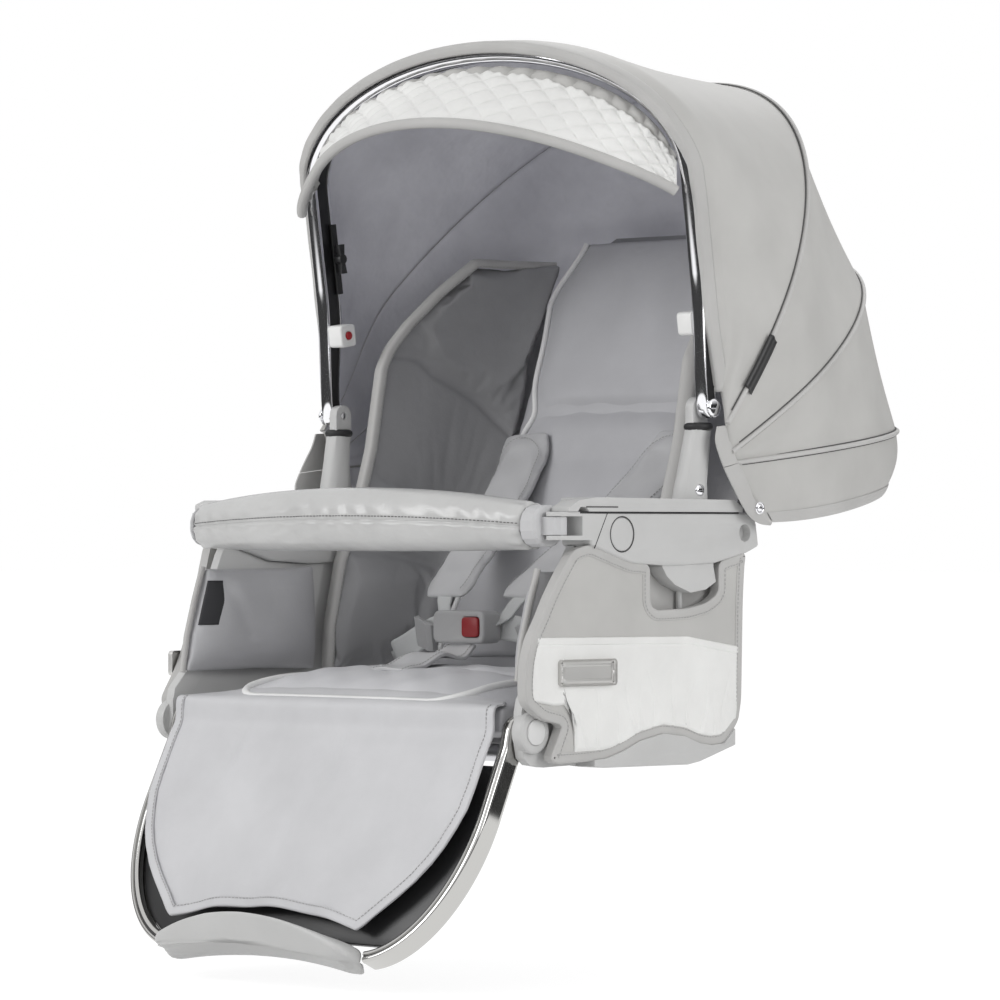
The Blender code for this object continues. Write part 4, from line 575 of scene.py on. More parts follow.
# Hood cover. Three gores and a skirt of coated cloth are sewn together over covered
# wires, with a corded seam on each wire; outside is warm grey leatherette and the
# inside is a cooler lilac grey lining.
def coated_cloth(name, color, roughness, grain, crease, weave=0.0, folds=14.0, shades=None):
    """Coated cloth with soft creases, and either fine pores or woven threads."""
    material, shader = plain_shader(name, color, roughness)
    shader.inputs["Specular IOR Level"].default_value = 0.42
    tree = material.node_tree
    where = node(tree, "ShaderNodeTexCoord")
    soft = node(tree, "ShaderNodeTexNoise", {"Scale": folds, "Detail": 5, "Roughness": 0.55})
    tint = tinted(tree, (0.32, 0.72), shades or shaded(color, 0.93, 1.045))
    coarse = node(tree, "ShaderNodeBump", {"Strength": 0.6, "Distance": crease})
    fine = node(tree, "ShaderNodeBump", {"Strength": 0.30, "Distance": 0.00012})
    sheen = node(tree, "ShaderNodeMapRange",
                 {"To Min": roughness - 0.06, "To Max": roughness + 0.08})
    wired(tree, (where, "Object", soft, "Vector"), (soft, "Fac", tint, "Fac"),
          (tint, "Color", shader, "Base Color"), (soft, "Fac", sheen, "Value"),
          (sheen, "Result", shader, "Roughness"), (soft, "Fac", coarse, "Height"),
          (coarse, "Normal", fine, "Normal"), (fine, "Normal", shader, "Normal"))
    if weave:
        threads = {"Scale": weave, "Distortion": 0.4}
        warp = node(tree, "ShaderNodeTexWave", threads, bands_direction="X")
        weft = node(tree, "ShaderNodeTexWave", threads, bands_direction="Y")
        cross = node(tree, "ShaderNodeMath", operation="MULTIPLY")
        wired(tree, (where, "UV", warp, "Vector"), (where, "UV", weft, "Vector"),
              (warp, "Fac", cross, 0), (weft, "Fac", cross, 1), (cross, 0, fine, "Height"))
    else:
        pores = node(tree, "ShaderNodeTexVoronoi", {"Scale": grain})
        wired(tree, (where, "Object", pores, "Vector"), (pores, "Distance", fine, "Height"))
    return material


leatherette = coated_cloth("leatherette", (0.515, 0.51, 0.495), 0.50, 900, 0.0012)
lining = coated_cloth("lining", (0.74, 0.74, 0.79), 0.48, 700, 0.0200, 330, 7.0,
                      ((0.55, 0.55, 0.60), (0.90, 0.90, 0.95)))
edge_tape = coated_cloth("edge_tape", (0.50, 0.495, 0.485), 0.55, 1200, 0.0004)


def surfaced(name, columns, rows, flat, place, material):
    """A flat grid of cloth, cut to its real size and laid onto the surface that it covers."""
    bpy.ops.object.select_all(action="DESELECT")
    bpy.ops.mesh.primitive_grid_add(x_subdivisions=columns, y_subdivisions=rows, size=2)
    piece = bpy.context.object
    piece.name = name
    for loop in piece.data.uv_layers.active.data:
        loop.uv = (loop.uv.x * flat[0], loop.uv.y * flat[1])
    for vertex in piece.data.vertices:
        vertex.co = place((vertex.co.x + 1) / 2, (vertex.co.y + 1) / 2)
    piece.data.materials.append(material)
    bpy.ops.object.shade_smooth()
    return piece


def facing(piece, away_from):
    """Turns a sheet's faces away from a point inside the object."""
    middle = Vector(away_from)
    if sum(face.normal.dot(face.center - middle) * face.area for face in piece.data.polygons) < 0:
        edited(piece, (bpy.ops.mesh.flip_normals, {}))


def thickened(piece, thickness, offset=-1, **settings):
    applied(piece, "SOLIDIFY", thickness=thickness, offset=offset, use_even_offset=False,
            **settings)


# A point under the hood that its cloth faces away from, and for each wire its half width,
# reach, lean, the y and z of its feet, and the degrees that its ends dip.
hood_heart = Vector((0, 0.115, 0.264))
hoops = {
    "front": (0.2450, 0.3690, radians(39.5), 0.0550, 0.2840, 2.5),
    "middle": (0.2430, 0.3800, radians(62.7), 0.0580, 0.2520, 1.0),
    "rear": (0.2350, 0.4000, radians(84.5), 0.0620, 0.2400, 0.0),
}


def hoop_point(hoop, u, grow=0.0):
    """A point on one of the wires, from its right foot over to its left one."""
    half, reach, lean, base_y, base_z, low = hoops[hoop]
    angle = radians(-low) + (pi + 2 * radians(low)) * u
    up = Vector((0, sin(lean), cos(lean)))
    c, s = cos(angle), sin(angle)
    tuck = 1 - 0.072 * (1 - smooth_step(s / 0.40))
    x = (half + grow) * tuck * copysign(abs(c) ** 0.95, c)
    back = (1 - tuck) * half * 0.90
    return Vector((x, base_y + back, base_z)) + up * (reach + grow) * s


def rim_point(u, foot_ahead, ahead, grow=0.0):
    """A point just outside the bow, from its right foot over to its left one."""
    start = 0.012
    gap = 0.006 + grow + 0.0014 + 0.0026 * sin(pi * u) ** 2
    edge = min(u, 1 - u)
    foot = start + (bow_straight - start) * edge / 0.14
    lay = foot_ahead + (ahead - foot_ahead) * smooth_step((foot - 0.012) / 0.060)
    if edge < 0.14:
        return bow_point(copysign(bow_half + gap, 0.5 - u), foot, lay)
    x, rise = bow_curve(pi * (u - 0.14) / 0.72, gap)
    return bow_point(x, rise, lay)


def seam_of(hoop):
    return lambda u: hoop_point(hoop, u)


def across(edge, u, way):
    """The share of a way that runs square to an edge."""
    run = (edge(min(u + 0.004, 1)) - edge(max(u - 0.004, 0))).normalized()
    return (way - run * way.dot(run)).normalized()


def gore_surface(first, second, gaps, sag, wrap=None, ripple=0.0):
    """The surface of a gore stretched between two edges, with its sag and its drawn folds."""
    def place(u, v):
        a, b = first(u), second(u)
        way = b - a
        a = a + across(first, u, way) * gaps[0]
        b = b - across(second, u, way) * gaps[1]
        if wrap and v < 0.15:
            return wrap(u) * (1 - v / 0.15) + a * v / 0.15
        t = (v - 0.15) / 0.85 if wrap else v
        spot = a * (1 - t) + b * t
        inward = (hood_heart - spot).normalized()
        ease = sin(pi * u) ** 2
        side = min(u, 1 - u)
        fan = sin(t * 2.3 * pi + 9 * side) * exp(-side * 9) * (1 - exp(-side * 60))
        pull = sin(46 * u + 5 * sin(3 * t)) * bell(t - 1, 0.10)
        pull += sin(52 * u + 1.3) * bell(t, 0.10)
        bulge = sag * sin(pi * t) * ease + 0.0016 * fan * sin(pi * t)
        return spot + inward * (bulge + ripple * pull * ease * sin(pi * t))

    return place


def gore(name, place, rows, flat, slack=0.0):
    """One cut of the cover with its lining, which hangs a little slack in soft folds."""
    piece = surfaced(name, 150, rows, flat, place, leatherette)
    facing(piece, hood_heart)
    piece.data.materials.append(lining)
    thickened(piece, 0.0022, 0, material_offset=1)
    inside = {}
    for face in piece.data.polygons:
        if face.material_index == 1 and (hood_heart - face.center).dot(face.normal) > 0:
            for loop in face.loop_indices:
                uv = piece.data.uv_layers.active.data[loop].uv
                inside[piece.data.loops[loop].vertex_index] = (uv.x / flat[0], uv.y / flat[1])
    for k, (u, v) in inside.items():
        spot = piece.data.vertices[k].co
        run = 0.5 + 0.5 * sin(2 * pi * (5.5 * u + 0.7 * v + 0.35 * sin(6 * v + 4 * u)))
        cross = 0.5 + 0.5 * sin(2 * pi * (2.1 * v - 2.7 * u + 0.3 * sin(11 * u)))
        edge = min(1.0, 9 * min(u, 1 - u), 6 * min(v, 1 - v))
        fold = slack * (0.62 * run ** 2.2 + 0.38 * cross ** 2) * max(edge, 0) * sin(
            pi * u) ** 2
        piece.data.vertices[k].co = spot + (hood_heart - spot).normalized() * fold
    return piece


def rim_lay(u):
    """How far ahead of the bow's plane the front edge of the cloth lies."""
    return -0.0052 + 0.0082 * smooth_step((min(u, 1 - u) - 0.11) / 0.12)


def rim_front(u):
    return rim_point(u, -0.0086, rim_lay(u))


def rim_back(u):
    return rim_point(u, -0.0115, -0.026)


front_gore = gore("hood_gore_front", gore_surface(rim_back, seam_of("front"), (0, 0.0005), 0.003,
                                                  rim_front, 0.0004), 44, (0.88, 0.30), 0.0065)
middle_gore = gore("hood_gore_middle", gore_surface(seam_of("front"), seam_of("middle"),
                                                    (0.0005, 0.0005), 0.004, None, 0.0005),
                   26, (0.93, 0.15), 0.0060)
back_gore = gore("hood_gore_back", gore_surface(seam_of("middle"), seam_of("rear"),
                                                (0.0005, 0.0005), 0.003, None, 0.0005),
                 26, (0.94, 0.15), 0.0045)


def hem_line(u):
    c, s = cos(pi * u), sin(pi * u)
    x = 0.226 * copysign(abs(c) ** 0.90, c)
    return Vector((x, 0.108 + 0.320 * s, 0.193 + 0.028 * smooth_step(s)))


skirt_surface = gore_surface(seam_of("rear"), hem_line, (0.0005, 0), -0.010, None, 0.0004)
skirt = gore("hood_skirt_panel", skirt_surface, 22, (0.90, 0.085))


for piece, bodies, leans, solid in (
        (front_gore, ("bow", "front_hoop"), (-8.5, 39.5), "gore_front"),
        (middle_gore, ("front_hoop", "middle_hoop"), (39.5, 62.7), "gore_middle"),
        (back_gore, ("middle_hoop", "seat"), (62.7, 84.5), "gore_back")):
    bodies[0]
    bodies[1]
    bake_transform(piece)
    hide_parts(solid)


def rim_tape_place(u, v):
    """The bound front edge: from the outside of the gore, round it, and over the bow's face."""
    high = smooth_step((min(u, 1 - u) - 0.13) / 0.10)
    lay = rim_lay(u)
    profile = [(0.0020, -0.0100), (0.0024, -0.0030), (0.0022, 0.0012), (0.0006, 0.0030),
               (-0.0020 - 0.0012 * high, 0.0036), (-0.0030 - 0.0036 * high, 0.0032),
               (-0.0034 - 0.0042 * high, 0.0020), (-0.0034 - 0.0042 * high, 0.0006)]
    k = v * (len(profile) - 1)
    low = min(int(k), len(profile) - 2)
    t = smooth_step(k - low) * 0.4 + (k - low) * 0.6
    grow = profile[low][0] * (1 - t) + profile[low + 1][0] * t
    ahead = profile[low][1] * (1 - t) + profile[low + 1][1] * t
    ripple = 0.0003 * sin(150 * u) * sin(pi * v)
    return rim_point(u, -0.0086 + ahead, lay + ahead + ripple, grow)


rim_tape = surfaced("hood_rim_tape", 300, 21, (0.88, 0.03), rim_tape_place, edge_tape)
facing(rim_tape, hood_heart)
thickened(rim_tape, 0.0009)
fixed(rim_tape, "bow", "leatherette")
fixed(skirt, "seat", "leatherette", "hood_skirt")


def corded(name, points, radius, material, body, slot):
    """A cord drawn through points, round in section."""
    rail = traced(name, points, dimensions="3D", bevel_depth=radius, bevel_resolution=3,
                  use_fill_caps=True)
    piece = meshed(name, rail, material)
    bpy.ops.object.shade_smooth()
    fixed(piece, body, slot)
    return piece


def curved(p, q, r, s, t):
    """A smooth line through four stations, between the middle two."""
    return 0.5 * (2 * q + (r - p) * t + (2 * p - 5 * q + 4 * r - s) * t * t
                  + (3 * q - p - 3 * r + s) * t ** 3)


def curved_through(stations, place):
    """A smooth line through stations, read at a place counted in stations."""
    low = min(int(place), len(stations) - 2)
    near = [stations[min(max(low + k, 0), len(stations) - 1)] for k in (-1, 0, 1, 2)]
    return [curved(*numbers, place - low) for numbers in zip(*near)]


piping_grey = coated_cloth("piping_grey", (0.53, 0.525, 0.515), 0.50, 1300, 0.0002)
seam_shade = plain_shader("seam_shade", (0.10, 0.10, 0.10), 0.8)[0]
for hoop, body in (("front", "front_hoop"), ("middle", "middle_hoop"), ("rear", "seat")):
    cord = corded(f"corded_seam_{hoop}", [hoop_point(hoop, k / 160, 0.0022) for k in range(161)],
                  0.0020, piping_grey, body, "piping")
    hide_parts(f"hoop_{hoop}")
    lean = hoops[hoop][2]
    # Two thin dark cords beside each corded seam paint the seam's shadow.
    for way, place in ((-1, "ahead"), (1, "behind")):
        beside = Vector((0, cos(lean), -sin(lean))) * way * 0.0024
        corded(f"seam_shadow_line_{hoop}_{place}",
               [hoop_point(hoop, 0.01 + 0.98 * k / 160, 0.0012) + beside for k in range(161)],
               0.0005, seam_shade, body, "piping")


def hem_place(u, v):
    """The turned hem, a band along the skirt's lower edge."""
    place = skirt_surface(u, 1 - 0.17 * v)
    lift = 0.0014 + 0.0011 * sin(pi * min(max(v, 0.02), 0.98)) ** 0.5
    return place + (place - hood_heart).normalized() * lift


def front_hem(side, u, v):
    """The bound front edge below the bolt, from the bolt down to the rounded corner."""
    corners = [(0.0530, 0.2690, 0.2246), (0.0505, 0.2580, 0.2252), (0.0540, 0.2470, 0.2258),
               (0.0595, 0.2360, 0.2264), (0.0695, 0.2210, 0.2270), (0.0800, 0.2070, 0.2274),
               (0.0895, 0.1970, 0.2278), (0.1010, 0.1915, 0.2280), (0.1140, 0.1900, 0.2286)]
    if side < 0:
        corners = [(0.0520, 0.2690, 0.2290), (0.0480, 0.2580, 0.2296), (0.0410, 0.2470, 0.2300),
                   (0.0340, 0.2350, 0.2304), (0.0290, 0.2230, 0.2306), (0.0330, 0.2110, 0.2306),
                   (0.0480, 0.2000, 0.2302), (0.0760, 0.1930, 0.2296), (0.1140, 0.1900, 0.2290)]
    y, z, x = curved_through(corners, u * (len(corners) - 1))
    turn = radians(8 + 82 * smooth_step((u - 0.25) / 0.65))
    wide = 0.0150 * v * (1 - 0.75 * smooth_step((u - 0.86) / 0.14))
    if side < 0:
        wide += 0.044 * v * sin(pi * min(u * 1.05, 1)) ** 1.5
        turn *= 0.4
    bulge = 0.0012 * sin(pi * v) + 0.0016 * v
    return Vector((side * (x + bulge), y + wide * cos(turn) * (1.1 if u < 0.9 else 1.0),
                   z + wide * sin(turn)))


bottom_band = surfaced("hood_hem_band", 240, 10, (0.90, 0.016),
                       lambda u, v: hem_place(0.01 + 0.98 * u, v), edge_tape)
facing(bottom_band, hood_heart)
fixed(bottom_band, "seat", "leatherette")
for side, tag in sides:
    for name, start, share in (("edge_band", 0.375, 0.625), ("edge_turn", 0.0, 0.37)):
        band = surfaced(f"hood_{name}_{tag}", 60, 12, (0.16 * share, 0.016),
                        lambda u, v: front_hem(side, start + share * u, v), edge_tape)
        facing(band, hood_heart)
        thickened(band, 0.0014)
        bevelled(band, 0.0005)
        if name == "edge_band":
            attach(band, "seat")
        else:
            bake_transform(band)
    out = Vector((side, -0.05, -0.05)).normalized()
    stud = basic(f"hood_snap_{tag}", bpy.ops.mesh.primitive_torus_add, major_radius=0.0042,
                 minor_radius=0.0010, major_segments=32, minor_segments=10)
    basic(f"snap_middle_{tag}", bpy.ops.mesh.primitive_uv_sphere_add, segments=24,
          ring_count=12, radius=0.0030, scale=(1, 1, 0.35))
    stud.select_set(True)
    bpy.context.view_layer.objects.active = stud
    bpy.ops.object.join()
    stud.rotation_euler = out.to_track_quat("Z", "Y").to_euler()
    stud.location = (side * 0.2306, 0.0985, 0.2040)
    only(stud)
    bpy.ops.object.transform_apply(location=True, rotation=True, scale=True)
    stud.data.materials.append(chrome)
    bpy.ops.object.shade_smooth()
    fixed(stud, "seat", "chrome")


def tab_place(u, v):
    spot = hoop_point("front", 0.030 + 0.046 * u)
    back = across(seam_of("front"), 0.030 + 0.046 * u, hoop_point("middle", 0.05) - spot)
    lift = 0.0024 + 0.0026 * bell(v - 0.35, 0.30)
    return spot + back * (0.0120 * v - 0.0042) + (spot - hood_heart).normalized() * lift


bare_tab = surfaced("bare_tab_hood", 24, 6, (0.05, 0.009), tab_place, black_plastic)
facing(bare_tab, hood_heart)
thickened(bare_tab, 0.0008)
fixed(bare_tab, "front_hoop", "webbing")


# Sun visor. A quilted white peak is gathered onto a ruffled grey strip inside the bow and
# bound with grey tape along its free edge; the underside is the same grey as the tape.
def out_of(surface, u, v, step):
    """The way straight out of a surface that is given as a function."""
    along = surface(min(u + step, 1), v) - surface(max(u - step, 0), v)
    over = surface(u, min(v + step, 1)) - surface(u, max(v - step, 0))
    return along.cross(over).normalized()


def diamonds(along, over, pitch):
    """Height of a quilted face, 0 on a stitch line and 1 in the middle of a diamond."""
    a = abs(sin(pi * (along + over) / pitch))
    b = abs(sin(pi * (along - over) / pitch))
    return (a * b) ** 0.45


visor_span = radians(84)
visor_length, visor_reach = 0.64, 0.105
visor_half = bow_half - 0.0075
strip_share = 0.22


def visor_face(u, v):
    """The visor's plain face, from its seam to its free edge."""
    t = 2 * u - 1
    angle = pi / 2 - t * visor_span
    x, rise = bow_curve(angle, -0.0078)
    seam = bow_point(x, rise, 0.007 * (1 - t * t) - 0.004)
    x = visor_half * sin(t * visor_span)
    ahead = 1 - (x / visor_half) ** 2
    spread = 1 + 0.042 * smooth_step((abs(t) - 0.55) / 0.45)
    edge = Vector((x * spread, 0.0215 - 0.0855 * ahead ** 0.8, 0.453 + 0.063 * ahead ** 0.75))
    return seam * (1 - v) + edge * v + Vector((0, 0, 0.006)) * sin(pi * v) * ahead


def visor_place(u, v):
    """The same face with its ruffled strip and its quilting."""
    spot = visor_face(u, v)
    out = out_of(visor_face, u, v, 0.002)
    if out.z < 0:
        out = -out
    s, d = u * visor_length, v * visor_reach
    fade = min(1.0, (1 - v) / 0.06, min(u, 1 - u) / 0.02)
    if v < strip_share:
        ruffle = abs(sin(pi * s / 0.028 + 0.8 * sin(9 * u))) ** 0.7
        return spot + out * (0.0036 * ruffle * sin(pi * v / strip_share) - 0.0012) * fade
    gathers = 0.0010 * sin(2 * pi * s / 0.014) * exp(-(v - strip_share) / 0.09)
    seam = -0.0022 * bell(v - strip_share, 0.010)
    return spot + out * (0.0030 * diamonds(s, d * 1.25, 0.034) * fade + gathers * fade + seam)


quilted_white = coated_cloth("quilted_white", (0.82, 0.82, 0.805), 0.42, 1000, 0.0006)
visor = surfaced("visor_quilt", 460, 80, (visor_length, visor_reach), visor_place, quilted_white)
facing(visor, (0, 0.10, 0.30))
visor.data.materials.append(edge_tape)
visor.data.materials.append(leatherette)
for face in visor.data.polygons:
    high = sum(visor.data.uv_layers.active.data[k].uv.y for k in face.loop_indices)
    face.material_index = 2 if high / len(face.loop_indices) < strip_share * visor_reach else 0
thickened(visor, 0.0022, material_offset=1)
fixed(visor, "bow", "white_quilt", "visor")
visor_edge = [visor_face(0.004 + 0.992 * k / 120, 0.995) for k in range(121)]
corded("visor_edge_tape", visor_edge, 0.0044, edge_tape, "bow", "leatherette")


# Seat cushion. Soft foam in a plain cool grey cover; a thinner woven liner lies on top, with
# a sewn channel across it, and a white corded seam edges its sides and front.
seat_cloth = coated_cloth("seat_cloth", (0.53, 0.53, 0.55), 0.52, 1000, 0.0020, 420)
seat_plain = coated_cloth("seat_plain", (0.53, 0.53, 0.55), 0.52, 1500, 0.0020)
# A lighter copy of the seat cloth for the liner on the seat: painted light on its top.
seat_cloth_painted_lit = coated_cloth("seat_cloth_painted_lit", (0.66, 0.66, 0.68), 0.50, 1000, 0.0020, 420)
piping_white = coated_cloth("piping_white", (0.88, 0.88, 0.875), 0.45, 1400, 0.0001)
seat_top, seat_half, seat_front, seat_rear = 0.0271, 0.178, -0.150, 0.068


def seat_height(x, y):
    """Height of the seat cushion's top."""
    u = min(max((x / seat_half + 1) / 2, 0), 1)
    v = min(max((y - seat_front) / (seat_rear - seat_front), 0), 1)
    side = dome(u, 3)
    front = dome(v, 3)
    return seat_top + 0.033 * (0.60 + 0.40 * side * front) + 0.012 * side * front


def pillow(name, columns, rows, flat, base, front, material):
    """A closed pad: a flat grid given a back by solidify, whose two faces are then set in place."""
    piece = surfaced(name, columns, rows, flat, base, material)
    count = len(piece.data.vertices)
    loops = {}
    for face in piece.data.polygons:
        for index, corner in zip(face.vertices, face.loop_indices):
            uv = piece.data.uv_layers.active.data[corner].uv
            loops[index] = (uv.x / flat[0], uv.y / flat[1])
    thickened(piece, 0.004, 1)
    for vertex in piece.data.vertices:
        u, v = loops[vertex.index % count]
        vertex.co = base(u, v) if vertex.index < count else front(u, v)
    edited(piece, (bpy.ops.mesh.normals_make_consistent, {"inside": False}))
    bpy.ops.object.shade_smooth()
    return piece


def plumped(piece, voxel, push, cap, frames=16, sewn=None):
    """Swells a pad with Blender's cloth under inside pressure, held where it is sewn through."""
    only(piece)
    piece.data.remesh_voxel_size = voxel
    bpy.ops.object.voxel_remesh()
    rest = [vertex.co.copy() for vertex in piece.data.vertices]
    cloth = piece.modifiers.new("plump", "CLOTH")
    if sewn:
        held = piece.vertex_groups.new(name="sewn")
        held.add([k for k, spot in enumerate(rest) if sewn(spot)], 1.0, "REPLACE")
        cloth.settings.vertex_group_mass = held.name
    cloth.settings.quality = 5
    cloth.settings.mass = 0.25
    cloth.settings.tension_stiffness = 12
    cloth.settings.compression_stiffness = 8
    cloth.settings.bending_stiffness = 0.6
    cloth.settings.use_pressure = True
    cloth.settings.uniform_pressure_force = push
    cloth.settings.effector_weights.gravity = 0
    cloth.collision_settings.use_collision = False
    scene = bpy.context.scene
    for number in range(1, frames + 1):
        scene.frame_set(number)
    bpy.context.view_layer.update()
    bpy.ops.object.modifier_apply(modifier=cloth.name)
    scene.frame_set(1)
    for vertex, start in zip(piece.data.vertices, rest):
        move = vertex.co - start
        if move.length > cap:
            vertex.co = start + move * (cap / move.length)
    applied(piece, "SUBSURF", levels=1, render_levels=1)
    bpy.ops.object.shade_smooth()
    return piece


def seat_under(u, v):
    x = (2 * u - 1) * (seat_half - 0.004 * sin(pi * v))
    return Vector((x, seat_front + (seat_rear - seat_front) * v, seat_top + 0.0006))


def seat_over(u, v):
    spot = seat_under(u, v)
    wrinkle = 0.0009 * sin(26 * u + 4 * v) * sin(19 * v + 2) * bell(2 * u - 1, 1)
    return Vector((spot.x * 0.992, spot.y + 0.002 * (1 - 2 * v),
                   seat_height(spot.x, spot.y) + wrinkle - 0.0015))


seat_pad = pillow("seat_pad", 72, 60, (0.36, 0.24), seat_under, seat_over, seat_plain)
plumped(seat_pad, 0.0045, 2.0, 0.0035)
fixed(seat_pad, "seat", "grey_fabric", "seat_cushion")

liner_half, liner_front = 0.126, -0.1475


def liner_edge(t):
    """The liner's outline at a share of its run, from its left rear corner to the right one."""
    corner, straight = 0.030, 0.150
    turn = corner * pi / 2
    s = min(t, 1 - t) * 2 * (straight + turn + liner_half - corner)
    side = 1 if t > 0.5 else -1
    if s < straight:
        return side * liner_half, liner_front + corner + straight - s
    angle = min((s - straight) / corner, pi / 2)
    across_front = max(s - straight - turn, 0)
    return (side * (liner_half - corner * (1 - cos(angle)) - across_front),
            liner_front + corner * (1 - sin(angle)))


def liner_spot(u, v, lift):
    y = liner_front + (0.052 - liner_front) * v
    near = max(0.0, 1 - (y - liner_front) / 0.030)
    x = (2 * u - 1) * liner_half * (1 - 0.09 * near ** 2.2)
    return Vector((x, y, seat_height(x, y) + lift))


def liner_over(u, v):
    edge = min(1.0, 6 * min(u, 1 - u), 7 * v)
    pad = 0.0034 * sin(edge * pi / 2)
    channel = 0.0035 * bell(liner_front + (0.052 - liner_front) * v + 0.055, 0.006) * edge
    crumple = 0.0010 * sin(31 * u + 7 * v) * sin(23 * v + 3 * u) * edge
    return liner_spot(u, v, 0.0008 + pad - channel + crumple)


seat_liner = pillow("seat_liner", 80, 60, (0.25, 0.20), lambda u, v: liner_spot(u, v, -0.0006),
                    liner_over, seat_cloth_painted_lit)
fixed(seat_liner, "seat", "grey_fabric")
liner_cord = []
for k in range(97):
    x, y = liner_edge(k / 96)
    liner_cord.append(Vector((x, y, seat_height(x, y) + 0.0022)))
corded("seat_liner_piping", liner_cord, 0.0036, piping_white, "seat", "piping")


# Backrest cushion. The same foam and cover on the bent back board, creased where
# the board bends, with its own liner and white corded edge, and drawn-in sides.
back_low, back_high = radians(30), radians(21.2)
back_foot_z = 0.036
back_foot = Vector((0, 0.085, back_foot_z))
back_bend, board_face = 0.222, 0.0046
pad_low, pad_run = 0.018, 0.422


def back_point(along, forward):
    """A point of the backrest, measured up along the bent board and forward of it."""
    lower = Vector((0, sin(back_low), cos(back_low)))
    upper = Vector((0, sin(back_high), cos(back_high)))
    t = smooth_step((along - back_bend + 0.03) / 0.06)
    lean = back_low + (back_high - back_low) * t
    ahead = Vector((0, -cos(lean), sin(lean)))
    return back_foot + lower * min(along, back_bend) + upper * max(along - back_bend, 0) \
        + ahead * forward


def pad_front(u, v):
    side = dome(u, 3)
    ends = dome(v, 6)
    crease = 0.0050 * bell(v - 0.60, 0.025) * side
    lower = 0.0060 * bell(v - 0.22, 0.20) * side
    return 0.024 * (0.60 + 0.40 * side * ends) + 0.007 * side * ends + lower - crease


def pad_width(v):
    return (0.128 - 0.005 * sin(pi * v)) * (1 - 0.24 * smooth_step((v - 0.84) / 0.16))


def pad_spot(u, v, forward):
    along = pad_low + pad_run * v
    return back_point(along, board_face + forward) + Vector(((2 * u - 1) * pad_width(v), 0, 0))


def back_over(u, v):
    fold = 0.0010 * sin(17 * u + 8 * v) * sin(13 * v + 5 * u)
    return pad_spot(u, v, pad_front(u, v) - 0.0025 + fold * dome(u, 4))


back_pad = pillow("back_pad", 60, 96, (0.26, 0.43), lambda u, v: pad_spot(u, v, 0.0), back_over,
                  seat_plain)
plumped(back_pad, 0.0045, 2.0, 0.0035)
fixed(back_pad, "backrest", "grey_fabric", "backrest_cushion")


def back_liner_side(u, v):
    top = 0.10 * smooth_step((v - 0.72) / 0.26)
    return 0.5 + (u - 0.5) * (0.88 + top - 0.08 * bell(v - 0.60, 0.05))


def back_liner_spot(u, v, lift):
    wide = back_liner_side(u, v)
    high = 0.04 + 0.95 * v
    return pad_spot(wide, high, pad_front(wide, high) + lift)


def back_liner_over(u, v):
    edge = min(1.0, 7 * min(u, 1 - u), 12 * (1 - v))
    crease = 0.0040 * bell(v - 0.60, 0.012)
    fold = 0.0009 * sin(21 * u + 6 * v + 1) * sin(15 * v + 7 * u)
    return back_liner_spot(u, v, 0.0006 + 0.0026 * sin(edge * pi / 2) + (fold - crease) * edge)


back_liner = pillow("back_liner", 60, 110, (0.22, 0.41),
                    lambda u, v: back_liner_spot(u, v, -0.0005), back_liner_over, seat_cloth)
fixed(back_liner, "backrest", "grey_fabric")
for tag, u in (("L", 0.0), ("R", 1.0)):
    back_cord = [back_liner_spot(u, k / 90, 0.0024) for k in range(91)]
    corded(f"back_liner_piping_{tag}", back_cord, 0.0025, piping_white, "backrest", "piping")


# Side panels. Padded coated cloth hides each side frame, with white quilted cloth sewn
# over its lower half; a stitched tape binds the edge and the cut-out for the trigger, and
# a bare steel plate is riveted on.
def rounded_line(corners, radius, steps=5):
    """A closed line through corners, each turned with a small arc."""
    line = []
    for k, corner in enumerate(corners):
        here = Vector(corner)
        before = Vector(corners[k - 1]) - here
        after = Vector(corners[(k + 1) % len(corners)]) - here
        cut = min(radius, before.length * 0.48, after.length * 0.48)
        start = here + before.normalized() * cut
        end = here + after.normalized() * cut
        for step in range(steps + 1):
            t = step / steps
            spot = start * (1 - t) ** 2 + here * 2 * t * (1 - t) + end * t * t
            line.append((spot.x, spot.y))
    return line


def stamped(name, line, low, high, rounding, place, material):
    """A flat shape cut out along a line, given a thickness and softened edges."""
    outline = traced(name, line, True, dimensions="2D", fill_mode="BOTH",
                     extrude=(high - low) / 2 - rounding, bevel_depth=rounding,
                     bevel_resolution=2, offset=-rounding)
    piece = meshed(name, outline, material)
    for vertex in piece.data.vertices:
        a, b, c = vertex.co
        vertex.co = place(a, b, (low + high) / 2 + c)
    welded(piece, 0.00001)
    bpy.ops.object.shade_smooth_by_angle(angle=radians(40))
    return piece


def stitched(name, points, pitch, thread, material, body, closed=False):
    """A row of sewn stitches: one stitch, repeated by Array and bent onto the seam by Curve."""
    route = placed(f"{name}_route", traced(f"{name}_route", points, closed, dimensions="3D"))
    row = basic(name, bpy.ops.mesh.primitive_cylinder_add, vertices=6, radius=thread,
                depth=0.64 * pitch, rotation=(0, pi / 2, 0))
    applied(row, "BEVEL", width=thread * 0.45, segments=1)
    for vertex in row.data.vertices:
        vertex.co.x += 0.32 * pitch
    applied(row, "ARRAY", fit_type="FIT_CURVE", curve=route, use_relative_offset=False,
            use_constant_offset=True, constant_offset_displace=(pitch, 0, 0))
    applied(row, "CURVE", object=route, deform_axis="POS_X")
    bpy.data.objects.remove(route)
    row.data.materials.append(material)
    only(row)
    bpy.ops.object.shade_smooth()
    if body:
        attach(row, body)
    return row


def along_table(table, place):
    """Reads a size off a short list of (place, size), straight between its entries."""
    for (start, first), (end, last) in zip(table, table[1:]):
        if place <= end:
            t = min(max((place - start) / (end - start), 0), 1)
            return first + (last - first) * t
    return table[-1][1]


